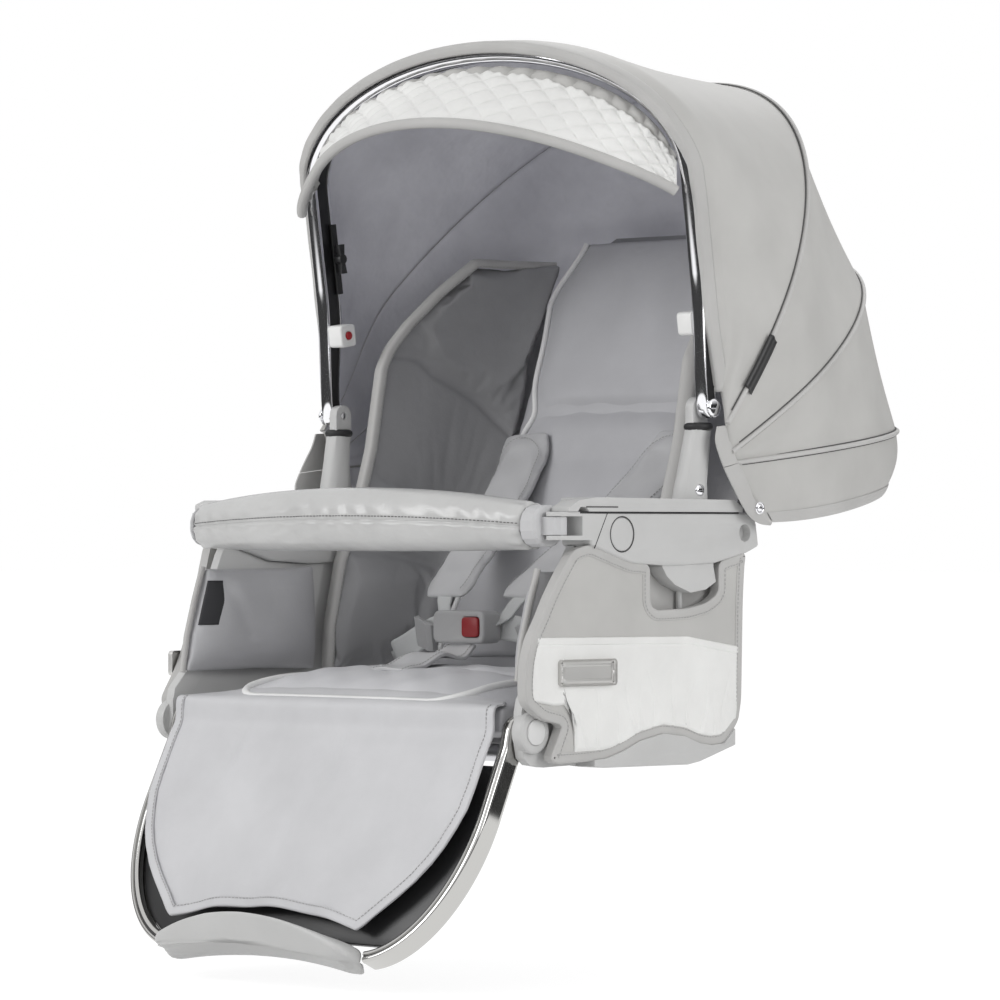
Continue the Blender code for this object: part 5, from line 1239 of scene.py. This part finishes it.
thread_grey = plain_shader("thread_grey", (0.40, 0.40, 0.395), 0.7)[0]
steel, shader = plain_shader("brushed_plate", (0.60, 0.595, 0.58), 0.42, 0.8)
tree = steel.node_tree
where = node(tree, "ShaderNodeTexCoord")
stretch = node(tree, "ShaderNodeMapping", {"Scale": (1, 1, 60)})
lines = node(tree, "ShaderNodeTexNoise", {"Scale": 60})
bump = node(tree, "ShaderNodeBump", {"Strength": 0.35, "Distance": 0.00008})
wired(tree, (where, "Object", stretch, "Vector"), (stretch, "Vector", lines, "Vector"),
      (lines, "Fac", bump, "Height"), (bump, "Normal", shader, "Normal"))

panel_in, panel_out, tape_wide = 0.2073, 0.2155, 0.0076
plate_y, plate_z = -0.0954, 0.0756
housing_floor = [(-0.090, 0.1742), (-0.042, 0.1602), (0.003, 0.1577), (0.059, 0.1597),
                 (0.098, 0.1677)]
shoe_crest = [(-0.086, 0.0075), (-0.072, 0.0083), (-0.052, 0.0133), (-0.032, 0.0208),
              (-0.004, 0.0258), (0.022, 0.0228), (0.040, 0.0168), (0.055, 0.0148),
              (0.070, 0.0158), (0.083, 0.0273)]
trigger_cut = [(-0.0190, 0.1588), (-0.0190, 0.1300), (-0.0160, 0.1250), (-0.0100, 0.1220),
               (0.0270, 0.1230), (0.0500, 0.1270), (0.0620, 0.1330), (0.0660, 0.1380),
               (0.0660, 0.1602)]
panel_front = {1: [(-0.1075, 0.1700), (-0.1245, 0.1490), (-0.1350, 0.1340), (-0.1440, 0.1186),
                   (-0.1553, 0.1019), (-0.1605, 0.0860), (-0.1625, 0.0680), (-0.1615, 0.0530),
                   (-0.1430, 0.0410)],
               -1: [(-0.0930, 0.1700), (-0.0985, 0.1500), (-0.1045, 0.1280), (-0.1110, 0.1050),
                    (-0.1180, 0.0850), (-0.1270, 0.0680), (-0.1370, 0.0530), (-0.1400, 0.0480),
                    (-0.1395, 0.0410)]}
notch = [(-0.1233, 0.0370), (-0.1205, 0.0340), (-0.1335, 0.0095), (-0.1268, 0.0064),
         (-0.1000, 0.0068)]
quilt_top = [(-0.150, 0.0985), (0.026, 0.0970), (0.088, 0.0880)]

for side, tag in sides:

    def panel_place(y, z, x):
        return Vector((side * x, y, z))

    edge = [panel_front[side][0]] + housing_floor[:2] + trigger_cut + [housing_floor[-1]]
    edge += [(0.0960, 0.1580), (0.0940, 0.1300), (0.0920, 0.0500), (0.0885, 0.0340)]
    edge += list(reversed(shoe_crest)) + list(reversed(notch))
    edge += list(reversed(panel_front[side][1:]))
    panel_line = rounded_line(edge, 0.006)
    panel = stamped(f"panel_cloth_{tag}", panel_line, panel_in, panel_out, 0.0012, panel_place,
                    leatherette)
    fixed(panel, "seat", "leatherette")

    tape_cut = [(-0.0005, 0.2070), (-0.0009, 0.2082), (-0.0009, 0.2156), (-0.0003, 0.2163),
                (0.0010, 0.2166), (tape_wide - 0.0012, 0.2165), (tape_wide, 0.2159),
                (tape_wide, 0.2151), (0.0004, 0.2151), (0.0004, 0.2070)]
    tape = swept(f"panel_tape_{tag}", panel_line + panel_line[:1],
                 tape_cut, panel_place, edge_tape)
    fixed(tape, "seat", "leatherette", f"side_panel_{tag}")

    sewn = []
    for k, (y, z) in enumerate(panel_line):
        before, after = Vector(panel_line[k - 1]), Vector(panel_line[(k + 1) % len(panel_line)])
        along = (after - before).normalized()
        inward = Vector((along.y, -along.x)) * (tape_wide - 0.0016)
        sewn.append(Vector((side * 0.2167, y + inward.x, z + inward.y)))
    stitched(f"panel_stitches_{tag}", sewn, 0.0034, 0.00038, thread_grey, "seat", True)

    front_edge = [(z, y) for y, z in reversed(panel_front[side])]

    def quilt_place(u, v):
        """The white cloth of the lower half, with its pleats and faint quilting."""
        wide = tape_wide - 0.0012
        low_front = panel_front[side][-2][0] + wide
        y = low_front + (0.0905 - wide * 0.3 - low_front) * u
        step = smooth_step((y + 0.1215) / 0.003)
        bottom = (0.0505 + 0.20 * max(-0.135 - y, 0)) * (1 - step)
        bottom += (along_table(shoe_crest, y) + wide) * step
        top = along_table(quilt_top, y)
        z = bottom + (top - bottom) * v
        y += (along_table(front_edge, z) + wide - low_front) * (1 - u) ** 3
        pleat = 0.0
        for k in range(13):
            start = -0.108 + 0.0165 * k + 0.004 * sin(5 * k)
            tall = 0.050 + 0.015 * sin(3 * k + 1)
            up = z - bottom
            lean = start - 0.18 * up * (1 if start < 0 else -0.6)
            lean += 0.0030 * sin(90 * up + 2 * k)
            pleat += bell(y - lean, 0.0016) * max(0, 1 - up / tall)
        fade = min(1.0, min(u, 1 - u) / 0.03, min(v, 1 - v) / 0.05)
        puff = 0.0016 * sin(fade * pi / 2)
        faint = 0.00035 * diamonds(y, z * 0.8, 0.036) * fade
        sag = 0.0006 * sin(23 * y + 4) * sin(40 * z) * fade
        return panel_place(y, z, panel_out + 0.0003 + puff + faint + sag - 0.0017 * pleat * fade)

    quilt = surfaced(f"panel_quilt_{tag}", 260, 110, (0.24, 0.085), quilt_place, quilted_white)
    facing(quilt, (0, 0, 0.05))
    thickened(quilt, 0.0006)
    fixed(quilt, "seat", "white_quilt")

    def band_place(u, v):
        start = along_table(front_edge, 0.0985) + tape_wide - 0.001
        y = start + (0.088 - start) * u
        z = along_table(quilt_top, y) - 0.0012 + 0.0062 * v
        return panel_place(y, z, panel_out + 0.0014 - 0.0006 * (2 * v - 1) ** 4)

    band = surfaced(f"panel_band_{tag}", 80, 6, (0.24, 0.006), band_place, quilted_white)
    facing(band, (0, 0, 0.05))
    thickened(band, 0.0012)
    fixed(band, "seat", "white_quilt")

    plate = basic(f"bare_plate_{tag}", bpy.ops.mesh.primitive_cube_add, size=1,
                  location=(side * 0.2188, plate_y, plate_z), scale=(0.0014, 0.0650, 0.0208))
    bpy.ops.object.mode_set(mode="EDIT")
    bpy.ops.mesh.select_all(action="DESELECT")
    bpy.ops.object.mode_set(mode="OBJECT")
    for edge_line in plate.data.edges:
        first, last = (plate.data.vertices[k].co for k in edge_line.vertices)
        edge_line.select = abs(first.x - last.x) > 0.0001
    bpy.ops.object.mode_set(mode="EDIT")
    bpy.ops.mesh.bevel(offset=0.0032, segments=5)
    bpy.ops.mesh.select_all(action="DESELECT")
    bpy.ops.object.mode_set(mode="OBJECT")
    for face in plate.data.polygons:
        face.select = face.normal.x * side > 0.9
    bpy.ops.object.mode_set(mode="EDIT")
    bpy.ops.mesh.inset(thickness=0.0036)
    bpy.ops.mesh.inset(thickness=0.0004, depth=-0.0003)
    bpy.ops.object.mode_set(mode="OBJECT")
    plate.data.materials.append(steel)
    bevelled(plate, 0.0003)
    bpy.ops.object.shade_smooth_by_angle(angle=radians(35))
    fixed(plate, "seat", "steel")
    for way, end in ((-1, "front"), (1, "rear")):
        rivet = basic(f"plate_rivet_{end}_{tag}", bpy.ops.mesh.primitive_uv_sphere_add,
                      segments=16, ring_count=8, radius=0.0019, scale=(0.45, 1, 1),
                      location=(side * 0.2193, plate_y + way * 0.0304, plate_z))
        rivet.data.materials.append(steel)
        bpy.ops.object.shade_smooth()
        fixed(rivet, "seat", "steel")

    def backing_place(u, v):
        return panel_place(-0.024 + 0.094 * u, 0.114 + 0.048 * v,
                           0.2003 + 0.0002 * sin(9 * u + 3 * v))

    backing = surfaced(f"trigger_backing_{tag}", 30, 16, (0.09, 0.05), backing_place, edge_tape)
    facing(backing, (0, 0, 0.13))
    fixed(backing, "seat", "leatherette")


# Fabric apron. One flap of coated cloth laps over the front of the seat and hangs down
# the leg rest, its edge folded back and stitched; it narrows towards its lower end.
apron_cloth = coated_cloth("apron_cloth", (0.60, 0.60, 0.615), 0.50, 1000, 0.0022)
apron_lap = [(-0.1260, 0.0012), (-0.1360, 0.0030), (-0.1440, 0.0038)]
apron_over = [(-0.1566, 0.0480), (-0.1588, 0.0300)]
apron_hang = [0.0230, 0.0400, 0.0560, 0.0730, 0.0890, 0.1050, 0.1200, 0.1350, 0.1500, 0.1640,
              0.1780]
apron_half = [(0, 0.160), (1, 0.170), (2, 0.176), (3, 0.178), (4, 0.1785), (7, 0.1785),
              (8, 0.1775), (9, 0.1730), (10, 0.1670), (11, 0.1590), (12, 0.1480), (13, 0.1340),
              (14, 0.1190), (15, 0.1030)]
apron_rows = len(apron_lap) + len(apron_over) + len(apron_hang) - 1


def apron_station(x, k):
    """Where the apron's middle line lies at a station, or beside it on the seat."""
    if k < len(apron_lap):
        y, lift = apron_lap[k]
        return Vector((0, y, seat_height(x, y) + lift))
    if k < len(apron_lap) + len(apron_over):
        return Vector((0, *apron_over[k - len(apron_lap)]))
    return leg_point(0, apron_hang[k - len(apron_lap) - len(apron_over)], 0.0165)


def apron_spot(u, v, lift=0.0):
    """A point of the apron, from the seat down to its lower end."""
    place = v * apron_rows
    low = min(int(place), apron_rows - 1)
    t = place - low
    half = along_table(apron_half, place)
    x = (2 * u - 1) * half
    p, q, r, s = (apron_station(x, min(max(low + k, 0), apron_rows)) for k in (-1, 0, 1, 2))
    spot = curved(p, q, r, s, t)
    down = max(0.0, (place - 5) / (apron_rows - 5))
    fold = 0.0022 * down * sin(pi * 3.2 * (2 * u - 1) + 0.6)
    arch = -0.0130 * down ** 3 * (1 - (2 * u - 1) ** 2)
    near_top = bell(place - 5.4, 1.3)
    crease = -0.0016 * near_top * (bell(x + 0.096 + 0.004 * (place - 5), 0.005)
                                   + bell(x - 0.020, 0.006))
    ahead = fold + 0.0022 * down + crease + lift * smooth_step((place - 2) / 2)
    return spot + Vector((x, 0, lift * (1 - smooth_step((place - 2) / 2)))) \
        + leg_ahead * ahead + leg_down * arch


apron = surfaced("apron_flap", 110, 130, (0.357, 0.275), lambda u, v: apron_spot(u, v, 0.0004),
                 apron_cloth)
facing(apron, (0, -0.05, -0.05))
thickened(apron, 0.0013)
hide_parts("apron")

apron_sides = [(0.0, 0.17 + 0.83 * k / 60) for k in range(60)]
apron_sides += [(k / 50, 1.0) for k in range(50)] + [(1.0, 1.0 - 0.83 * k / 60) for k in range(61)]


def apron_frame(k):
    """Middle of the folded edge at a station, and the way in from the edge there."""
    u, v = apron_sides[k]
    spot = apron_spot(u, v)
    centre = apron_spot(0.5, min(v, 0.72))
    inward = centre - spot
    inward.x = (1 if u < 0.5 else -1) * abs(inward.x)
    ahead = apron_spot(*apron_sides[min(k + 1, len(apron_sides) - 1)])
    behind = apron_spot(*apron_sides[max(k - 1, 0)])
    along = (ahead - behind).normalized()
    inward = (inward - along * inward.dot(along)).normalized()
    inward = (inward - leg_ahead * inward.dot(leg_ahead) * 0.9).normalized()
    return spot, inward


def apron_hem_place(u, v):
    k = u * (len(apron_sides) - 1)
    low = min(int(k), len(apron_sides) - 2)
    first, last = apron_frame(low), apron_frame(low + 1)
    t = k - low
    spot, inward = (a * (1 - t) + b * t for a, b in zip(first, last))
    lift = 0.0014 + 0.0003 * sin(pi * v) + 0.0002 * sin(k * 0.7)
    return spot + inward * (0.0085 * v - 0.0004) + leg_ahead * lift


apron_hem = surfaced("apron_hem", 340, 5, (0.80, 0.0085), apron_hem_place, apron_cloth)
facing(apron_hem, (0, 0.15, -0.05))
thickened(apron_hem, 0.0012)
hem_seam = []
for k in range(len(apron_sides)):
    spot, inward = apron_frame(k)
    hem_seam.append(spot + inward * 0.0070 + leg_ahead * 0.0019)
apron_stitches = stitched("apron_stitches", hem_seam, 0.0034, 0.00036, thread_grey, None)
for piece in (apron, apron_hem, apron_stitches):
    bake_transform(piece)


# Bumper bar cover. A sleeve of glossy coated cloth over foam is closed by one seam
# along the front, and creases where it was pulled over the ends of the bar.
bar_skin = coated_cloth("bar_skin", (0.56, 0.56, 0.555), 0.20, 1500, 0.0045)
# Near-black thread for the bar's seam, darker than the other stitches: partly painted shade along
# the seam.
thread_and_seam_shade = plain_shader("thread_and_seam_shade", (0.09, 0.09, 0.09), 0.6)[0]
bar_pivot_y, bar_z, collar_in, cover_left = -0.1190, 0.1895, 0.1839, 0.1840


def bar_middle(x):
    bend = max(1 - (x / collar_in) ** 2, 0.0)
    return Vector((x, bar_pivot_y + 0.001 - 0.0120 * bend, bar_z + 0.0055 * bend))


def bar_spot(t, angle, lift=0.0):
    """A point on the sleeve: t runs from -1 at the left end to 1, angle from the front upwards."""
    x = (collar_in - 0.0003) * t if t > 0 else cover_left * t
    swell = max(1 - abs(t) ** 2.2, 0.0)
    tall = 0.0185 + 0.0070 * swell
    deep = 0.0180 + 0.0035 * swell
    round_off = 1 - 0.10 * smooth_step((abs(t) - 0.985) / 0.015)
    c, s = cos(angle), sin(angle)
    power = 2 / 2.2
    front = copysign(abs(c) ** power, c)
    high = copysign(abs(s) ** power, s)
    ends = bell(1 - abs(t), 0.06)
    near_seam = bell(angle, 0.55)
    pull = sin(46 * t + 5.5 * angle + 2 * sin(7 * t)) * near_seam
    gather = sin(11 * angle + 4 * t) * ends
    buckle = bell(t + 0.33, 0.20) * sin(24 * t - 9 * angle)
    wave = 0.0006 * pull + 0.0006 * gather + 0.0009 * buckle * near_seam
    seam = -0.0026 * bell(angle, 0.048)
    grow = round_off + (lift + wave + seam) / tall
    return bar_middle(x) + Vector((0, -front * deep, high * tall)) * grow


bar_cover = surfaced("bar_sleeve", 300, 120, (0.368, 0.132),
                     lambda u, v: bar_spot(2 * u - 1, 2 * pi * v - pi), bar_skin)
welded(bar_cover, 0.00002)
facing(bar_cover, (0, bar_pivot_y, bar_z))
thickened(bar_cover, 0.0035)
fixed(bar_cover, "bumper", "leatherette", "bumper_cover")
bar_seam = [bar_spot(k / 60 * 1.96 - 0.98, 0.085, 0.0002) for k in range(61)]
stitched("bar_stitches", bar_seam, 0.0036, 0.00040, thread_and_seam_shade, "bumper")


# Side bolsters. Each wing of the back is a pad of coated cloth sewn across into soft
# pillows, with a plain stitched tape round its front and upper edge.
wing_front = [(0.066, 0.012), (0.105, 0.014), (0.160, 0.027), (0.200, 0.046), (0.255, 0.064),
              (0.293, 0.071), (0.325, 0.077), (0.345, 0.089), (0.365, 0.107), (0.392, 0.133),
              (0.418, 0.162)]
wing_side = [(0.066, 0.176), (0.340, 0.176), (0.365, 0.171), (0.392, 0.160), (0.418, 0.145)]
wing_low, wing_high, wing_root = 0.066, 0.418, 0.1285
wing_cut_wide, wing_cut_long = 0.13, 0.349
wing_bend = Vector((0, 0, back_foot_z + cos(back_low) * back_bend)).z
wing_seams = [[(1.0, 0.72), (0.90, 0.715), (0.80, 0.765), (0.66, 0.765), (0.20, 0.617),
               (0.0, 0.57)],
              [(0.92, 0.715), (0.90, 0.60), (0.74, 0.50), (0.50, 0.43), (0.0, 0.40)],
              [(1.0, 0.86), (0.84, 0.845)], [(1.0, 0.79), (0.86, 0.79)], [(1.0, 0.34), (0.0, 0.22)]]


def wing_mid(side, u, v):
    """The middle of a wing, from the board out to its front edge."""
    z = wing_low + (wing_high - wing_low) * v
    if z < wing_bend:
        along = (z - back_foot_z) / cos(back_low)
    else:
        along = back_bend + (z - wing_bend) / cos(back_high)
    seat_y = back_point(along, 0.0173).y
    turn = u * pi / 2
    x = wing_root + (along_table(wing_side, z) - wing_root) * sin(turn)
    y = seat_y + (along_table(wing_front, z) - seat_y) * (1 - cos(turn))
    return Vector((side * x, y, z))


def wing_out(side, u, v):
    """The way out of the wing towards the child."""
    out = out_of(lambda a, b: wing_mid(side, a, b), u, v, 0.01)
    return out if out.dot(Vector((-side, -1.2, 0))) > 0 else -out


def wing_skin(side, u, v, share):
    fade = dome(u, 5) * dome(v, 8)
    lift = share * (0.0022 + 0.0048 * fade)
    if share > 0:
        near = seam_distance(side, wing_mid(side, u, v))
        lift += fade * (0.0030 * (1 - bell(near, 0.012)) - 0.0012)
    return wing_mid(side, u, v) + wing_out(side, u, v) * lift


def seam_distance(side, spot):
    """How far a point of the wing is from the nearest sewn line, in metres."""
    v = (spot.z - wing_low) / (wing_high - wing_low)
    reach = (abs(spot.x) - wing_root) / (along_table(wing_side, spot.z) - wing_root)
    u = asin(min(max(reach, 0), 1)) / (pi / 2)
    nearest = 1.0
    for seam in wing_seams:
        for (u0, v0), (u1, v1) in zip(seam, seam[1:]):
            a = Vector(((u - u0) * wing_cut_wide, (v - v0) * wing_cut_long))
            b = Vector(((u1 - u0) * wing_cut_wide, (v1 - v0) * wing_cut_long))
            t = min(max(a.dot(b) / max(b.length_squared, 1e-9), 0), 1)
            nearest = min(nearest, (a - b * t).length)
    return nearest


# A darker copy of the seat cloth for the wings: partly their own tone, partly painted shade of
# their deep folds.
wing_cloth_painted_shade = coated_cloth("wing_cloth_painted_shade", (0.33, 0.33, 0.34), 0.46, 1000, 0.0040)
for side, tag in sides:
    wing = pillow(f"wing_pad_{tag}", 64, 130, (0.15, 0.35),
                  lambda u, v: wing_skin(side, u, v, -0.8), lambda u, v: wing_skin(side, u, v, 1.0),
                  wing_cloth_painted_shade)
    plumped(wing, 0.0040, 10.0, 0.0090, 18, lambda spot: seam_distance(side, spot) < 0.0026)
    for vertex in wing.data.vertices:
        near = seam_distance(side, vertex.co)
        if near < 0.006:
            vertex.co -= vertex.normal * 0.0020 * bell(near, 0.0024)
    fixed(wing, "backrest", "grey_fabric", f"wing_{tag}")
    trim = [wing_mid(side, 1.0, k / 60) for k in range(60)]
    trim += [wing_mid(side, 1 - k / 20, 1.0) for k in range(19)]

    def trim_place(u, v):
        """The tape, bent round the wing's edge."""
        k = u * (len(trim) - 1)
        low = min(int(k), len(trim) - 2)
        spot = trim[low].lerp(trim[low + 1], k - low)
        along = (trim[low + 1] - trim[low]).normalized()
        out = Vector((-side * 0.9, -0.35, 0.1))
        out = (out - along * out.dot(along)).normalized()
        edge = along.cross(out).normalized()
        if edge.dot(Vector((0, -1, 0.5))) < 0:
            edge = -edge
        turn = pi * (1.35 * v - 0.20)
        return spot + out * 0.0072 * cos(turn) + edge * (0.0034 * sin(turn) - 0.0006) \
            + edge * (-0.0030 * max(0, 1 - 5 * v))

    tape = surfaced(f"wing_tape_{tag}", 160, 14, (0.45, 0.014), trim_place, edge_tape)
    facing(tape, (side * 0.173, 0.10, 0.25))
    thickened(tape, 0.0009)
    fixed(tape, "backrest", "grey_fabric")
    seam = [trim_place(k / 90, 0.04) + Vector((-side * 0.0003, -0.0002, 0)) for k in range(91)]
    stitched(f"wing_stitches_{tag}", seam, 0.0036, 0.00034, thread_grey, "backrest")


# Side cushions. A soft pad buttons inside each side frame, its front edge bound with
# tape; a bare black tab is sewn into the seam of the left one.
# A darker copy of the seat cloth for the side cushions: partly their own tone, partly painted shade
# inside the side frames.
side_cloth_painted_shade = coated_cloth("side_cloth_painted_shade", (0.44, 0.44, 0.455), 0.44, 1000, 0.0040)
for side, tag in sides:

    def side_pad(u, v, deep):
        """A face of a side cushion, its back for a deep of 0 and its front for 1."""
        front = along_table([(0, -0.1410), (0.35, -0.1360), (0.7, -0.1270), (1.0, -0.1180)], v)
        fade = dome(u, 4) * dome(v, 4)
        crease = 0.0024 * bell(u - 0.10 - 0.55 * (0.85 - v), 0.05) * smooth_step(
            (u - 0.02) / 0.1) * (v > 0.3)
        soft = 0.0012 * sin(9 * u + 5 * v) * sin(7 * v - 3 * u)
        x = 0.1909 - deep * (0.007 + 0.018 * fade + (soft - crease) * fade)
        return Vector((side * x, front + (0.0055 - front) * u, 0.0690 + 0.0868 * v))

    pad = pillow(f"side_pad_{tag}", 44, 34, (0.14, 0.09), lambda u, v: side_pad(u, v, 0),
                 lambda u, v: side_pad(u, v, 1), side_cloth_painted_shade)
    plumped(pad, 0.0040, 2.5, 0.0022)
    fixed(pad, "seat", "grey_fabric", f"side_cushion_{tag}")
    welt = [side_pad(0, k / 40, 0.35) + Vector((0, -0.0016, 0)) for k in range(41)]
    corded(f"side_pad_welt_{tag}", welt, 0.0026, edge_tape, "seat", "grey_fabric")


black_tape = coated_cloth("black_tape", (0.020, 0.020, 0.023), 0.6, 1200, 0.0003)


def side_tab(u, v):
    high = 0.45 + 0.42 * v
    spot = side_pad(0.015 + 0.120 * u, high, 1)
    return spot + Vector((0.0012 + 0.0012 * sin(pi * u), -0.0010, 0))


tab = surfaced("bare_tab_side", 12, 20, (0.018, 0.038), side_tab, black_tape)
facing(tab, (-0.30, -0.10, 0.12))
thickened(tab, 0.0007)
fixed(tab, "seat", "black_plastic")


# Harness. Two padded covers slide on webbing straps and meet the waist belt and the
# covered crotch strap in a moulded buckle with a red press button.
webbing = coated_cloth("webbing", (0.60, 0.61, 0.61), 0.7, 1500, 0.0002, 900)
strap_cloth = coated_cloth("strap_cloth", (0.56, 0.56, 0.57), 0.48, 1000, 0.0016)


def strap_pad(side, u, v, deep):
    """A face of a shoulder pad, its back for a deep of -1 and its front for 1."""
    up = 0.072 + 0.466 * v
    half = (0.0255 + 0.0055 * v) * (1 - 0.35 * max(0, (v - 0.86) / 0.14) ** 2.6) ** 0.5 \
        * (1 - 0.22 * max(0, (0.10 - v) / 0.10) ** 2)
    x = side * (0.0430 + 0.0470 * v) + (2 * u - 1) * half
    share = 0.5 + x / 0.256
    thick = max(pad_front(share + step, up) for step in (-0.10, 0, 0.10))
    lift = 0.066 * (1 - v) ** 2 + 0.0034 - 0.0010 * smooth_step((v - 0.70) / 0.30)
    edge = dome(u, 6) * dome(v, 22)
    wrinkle = 0.0006 * sin(30 * v + 3 * u) * sin(6 * u + 2)
    spot = back_point(pad_low + pad_run * up, board_face)
    ahead = Vector((0, -cos(back_low), sin(back_low)))
    gap = thick + 0.0045 + lift + deep * (0.0014 + 0.0030 * edge) + wrinkle * edge
    return Vector((x, spot.y, spot.z)) + ahead * gap


for side, tag in sides:
    cover = pillow(f"strap_cover_{tag}", 26, 90, (0.062, 0.24),
                   lambda u, v: strap_pad(side, u, v, -1), lambda u, v: strap_pad(side, u, v, 1),
                   strap_cloth)
    plumped(cover, 0.0035, 2.0, 0.0016)
    fixed(cover, "backrest", "grey_fabric", f"shoulder_pad_{tag}")
    round_end = [(0.10, 0.04 + 0.82 * k / 50) for k in range(50)]
    round_end += [(0.10 + 0.80 * (1 - cos(pi * k / 24)) / 2,
                   0.86 + 0.10 * sin(pi * k / 24)) for k in range(25)]
    round_end += [(0.90, 0.86 - 0.82 * k / 50) for k in range(51)]
    seam = [strap_pad(side, u, v, 1.0) + Vector((0, -0.0010, 0.0012)) for u, v in round_end]
    stitched(f"strap_cover_stitches_{tag}", seam, 0.0034, 0.00036, thread_grey, "backrest")

    start = strap_pad(side, 0.5, 0.02, 0)
    way = [start, start + Vector((-side * 0.004, -0.006, -0.008)),
           Vector((side * 0.0330, 0.0085, 0.1130)), Vector((side * 0.0275, 0.0035, 0.1080))]

    def strap_place(u, v):
        k = u * 3
        low = min(int(k), 2)
        spot = way[low].lerp(way[low + 1], smooth_step(k - low))
        half = (0.0085 - 0.0020 * u) * (2 * v - 1)
        return spot + Vector((1, 0.25 * side * u, 0.35 * side * u)) * half

    strap = surfaced(f"shoulder_strap_{tag}", 24, 6, (0.06, 0.017), strap_place, webbing)
    facing(strap, (0, 0.2, 0.0))
    thickened(strap, 0.0014, 0)
    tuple(way[3])
    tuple(way[0])
    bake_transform(strap)


def on_seat(x, y, extra=0.0):
    return seat_height(x, y) + 0.0012 + 0.0030 + extra


crotch_way = [(-0.0930, on_seat(0, -0.0930)), (-0.0740, on_seat(0, -0.0740, 0.0012)),
              (-0.0480, on_seat(0, -0.0480, 0.0090)), (-0.0240, 0.0835), (-0.0060, 0.0920)]


def crotch_place(u, v):
    y, z = curved_through(crotch_way, 4 * u)
    half = 0.0205 - 0.0045 * smooth_step((u - 0.75) / 0.25)
    side_roll = 0.0010 * abs(2 * v - 1) ** 4
    crumple = 0.0008 * sin(16 * u + 3 * v) * sin(5 * v)
    return Vector(((2 * v - 1) * half, y, z + crumple - side_roll))


crotch = surfaced("crotch_sleeve", 60, 20, (0.09, 0.036), crotch_place, strap_cloth)
facing(crotch, (0, -0.05, 0.0))
thickened(crotch, 0.0030, 0)
bevelled(crotch, 0.0008)
bpy.ops.object.shade_smooth()
fixed(crotch, "seat", "webbing", "crotch_strap")
for way in (-1, 1):
    seam = [crotch_place(k / 40, 0.5 + way * 0.40) + Vector((0, -0.0008, 0.0016))
            for k in range(41)]
    stitched(f"crotch_stitches_{'R' if way > 0 else 'L'}", seam, 0.0034, 0.00034, thread_grey,
             "seat")


def belt_place(u, v):
    """The waist belt, which twists and tucks in at its ends."""
    t = 2 * u - 1
    drop = smooth_step((abs(t) - 0.22) / 0.78)
    x, y, z = 0.130 * t, 0.0125 + 0.0160 * drop, 0.107 - 0.0265 * drop
    tuck = smooth_step((abs(t) - 0.80) / 0.20)
    y, z = y + 0.022 * tuck, z - 0.006 * tuck
    twist = 0.55 * drop
    out = (2 * v - 1) * 0.0110
    return Vector((x, y - out * sin(twist), z + out * cos(twist)))


belt = surfaced("waist_webbing", 120, 8, (0.28, 0.022), belt_place, webbing)
facing(belt, (0, 0.2, 0.1))
thickened(belt, 0.0018, 0)
fixed(belt, "seat", "webbing", "waist_belt")

pale_grey = grained_plastic("buckle_grey", (0.40, 0.40, 0.405), 0.38)
moulded("buckle", "harness_buckle", pale_grey, "seat", "grey_plastic", 0.0012)
press_red = grained_plastic("press_red", (0.28, 0.012, 0.016), 0.35)
moulded("buckle_button", "harness_button", press_red, "buckle_press", "red_plastic", 0.0006)

for side, tag in sides:
    lock = basic(f"belt_adjuster_{tag}", bpy.ops.mesh.primitive_cube_add, size=1,
                 scale=(0.026, 0.0050, 0.027))
    edited(lock, (bpy.ops.mesh.subdivide, {"number_cuts": 4}))
    for vertex in lock.data.vertices:
        t = vertex.co.x / 0.013
        vertex.co.y -= 0.0035 * (1 - t * t)
        vertex.co.z *= 1 - 0.12 * abs(t)
        if abs(abs(t) - 0.2) < 0.05 and vertex.co.y < -0.003:
            vertex.co.y += 0.0022
    bevelled(lock, 0.0007, angle_limit=radians(25))
    spot = belt_place(0.5 + side * 0.235, 0.5)
    lock.location = spot + Vector((0, -0.0012, 0))
    lock.rotation_euler = (0.30, -side * 0.28, side * 0.22)
    only(lock)
    bpy.ops.object.transform_apply(location=True, rotation=True, scale=True)
    lock.data.materials.append(pale_grey)
    bpy.ops.object.shade_smooth_by_angle(angle=radians(35))
    fixed(lock, "seat", "grey_plastic")
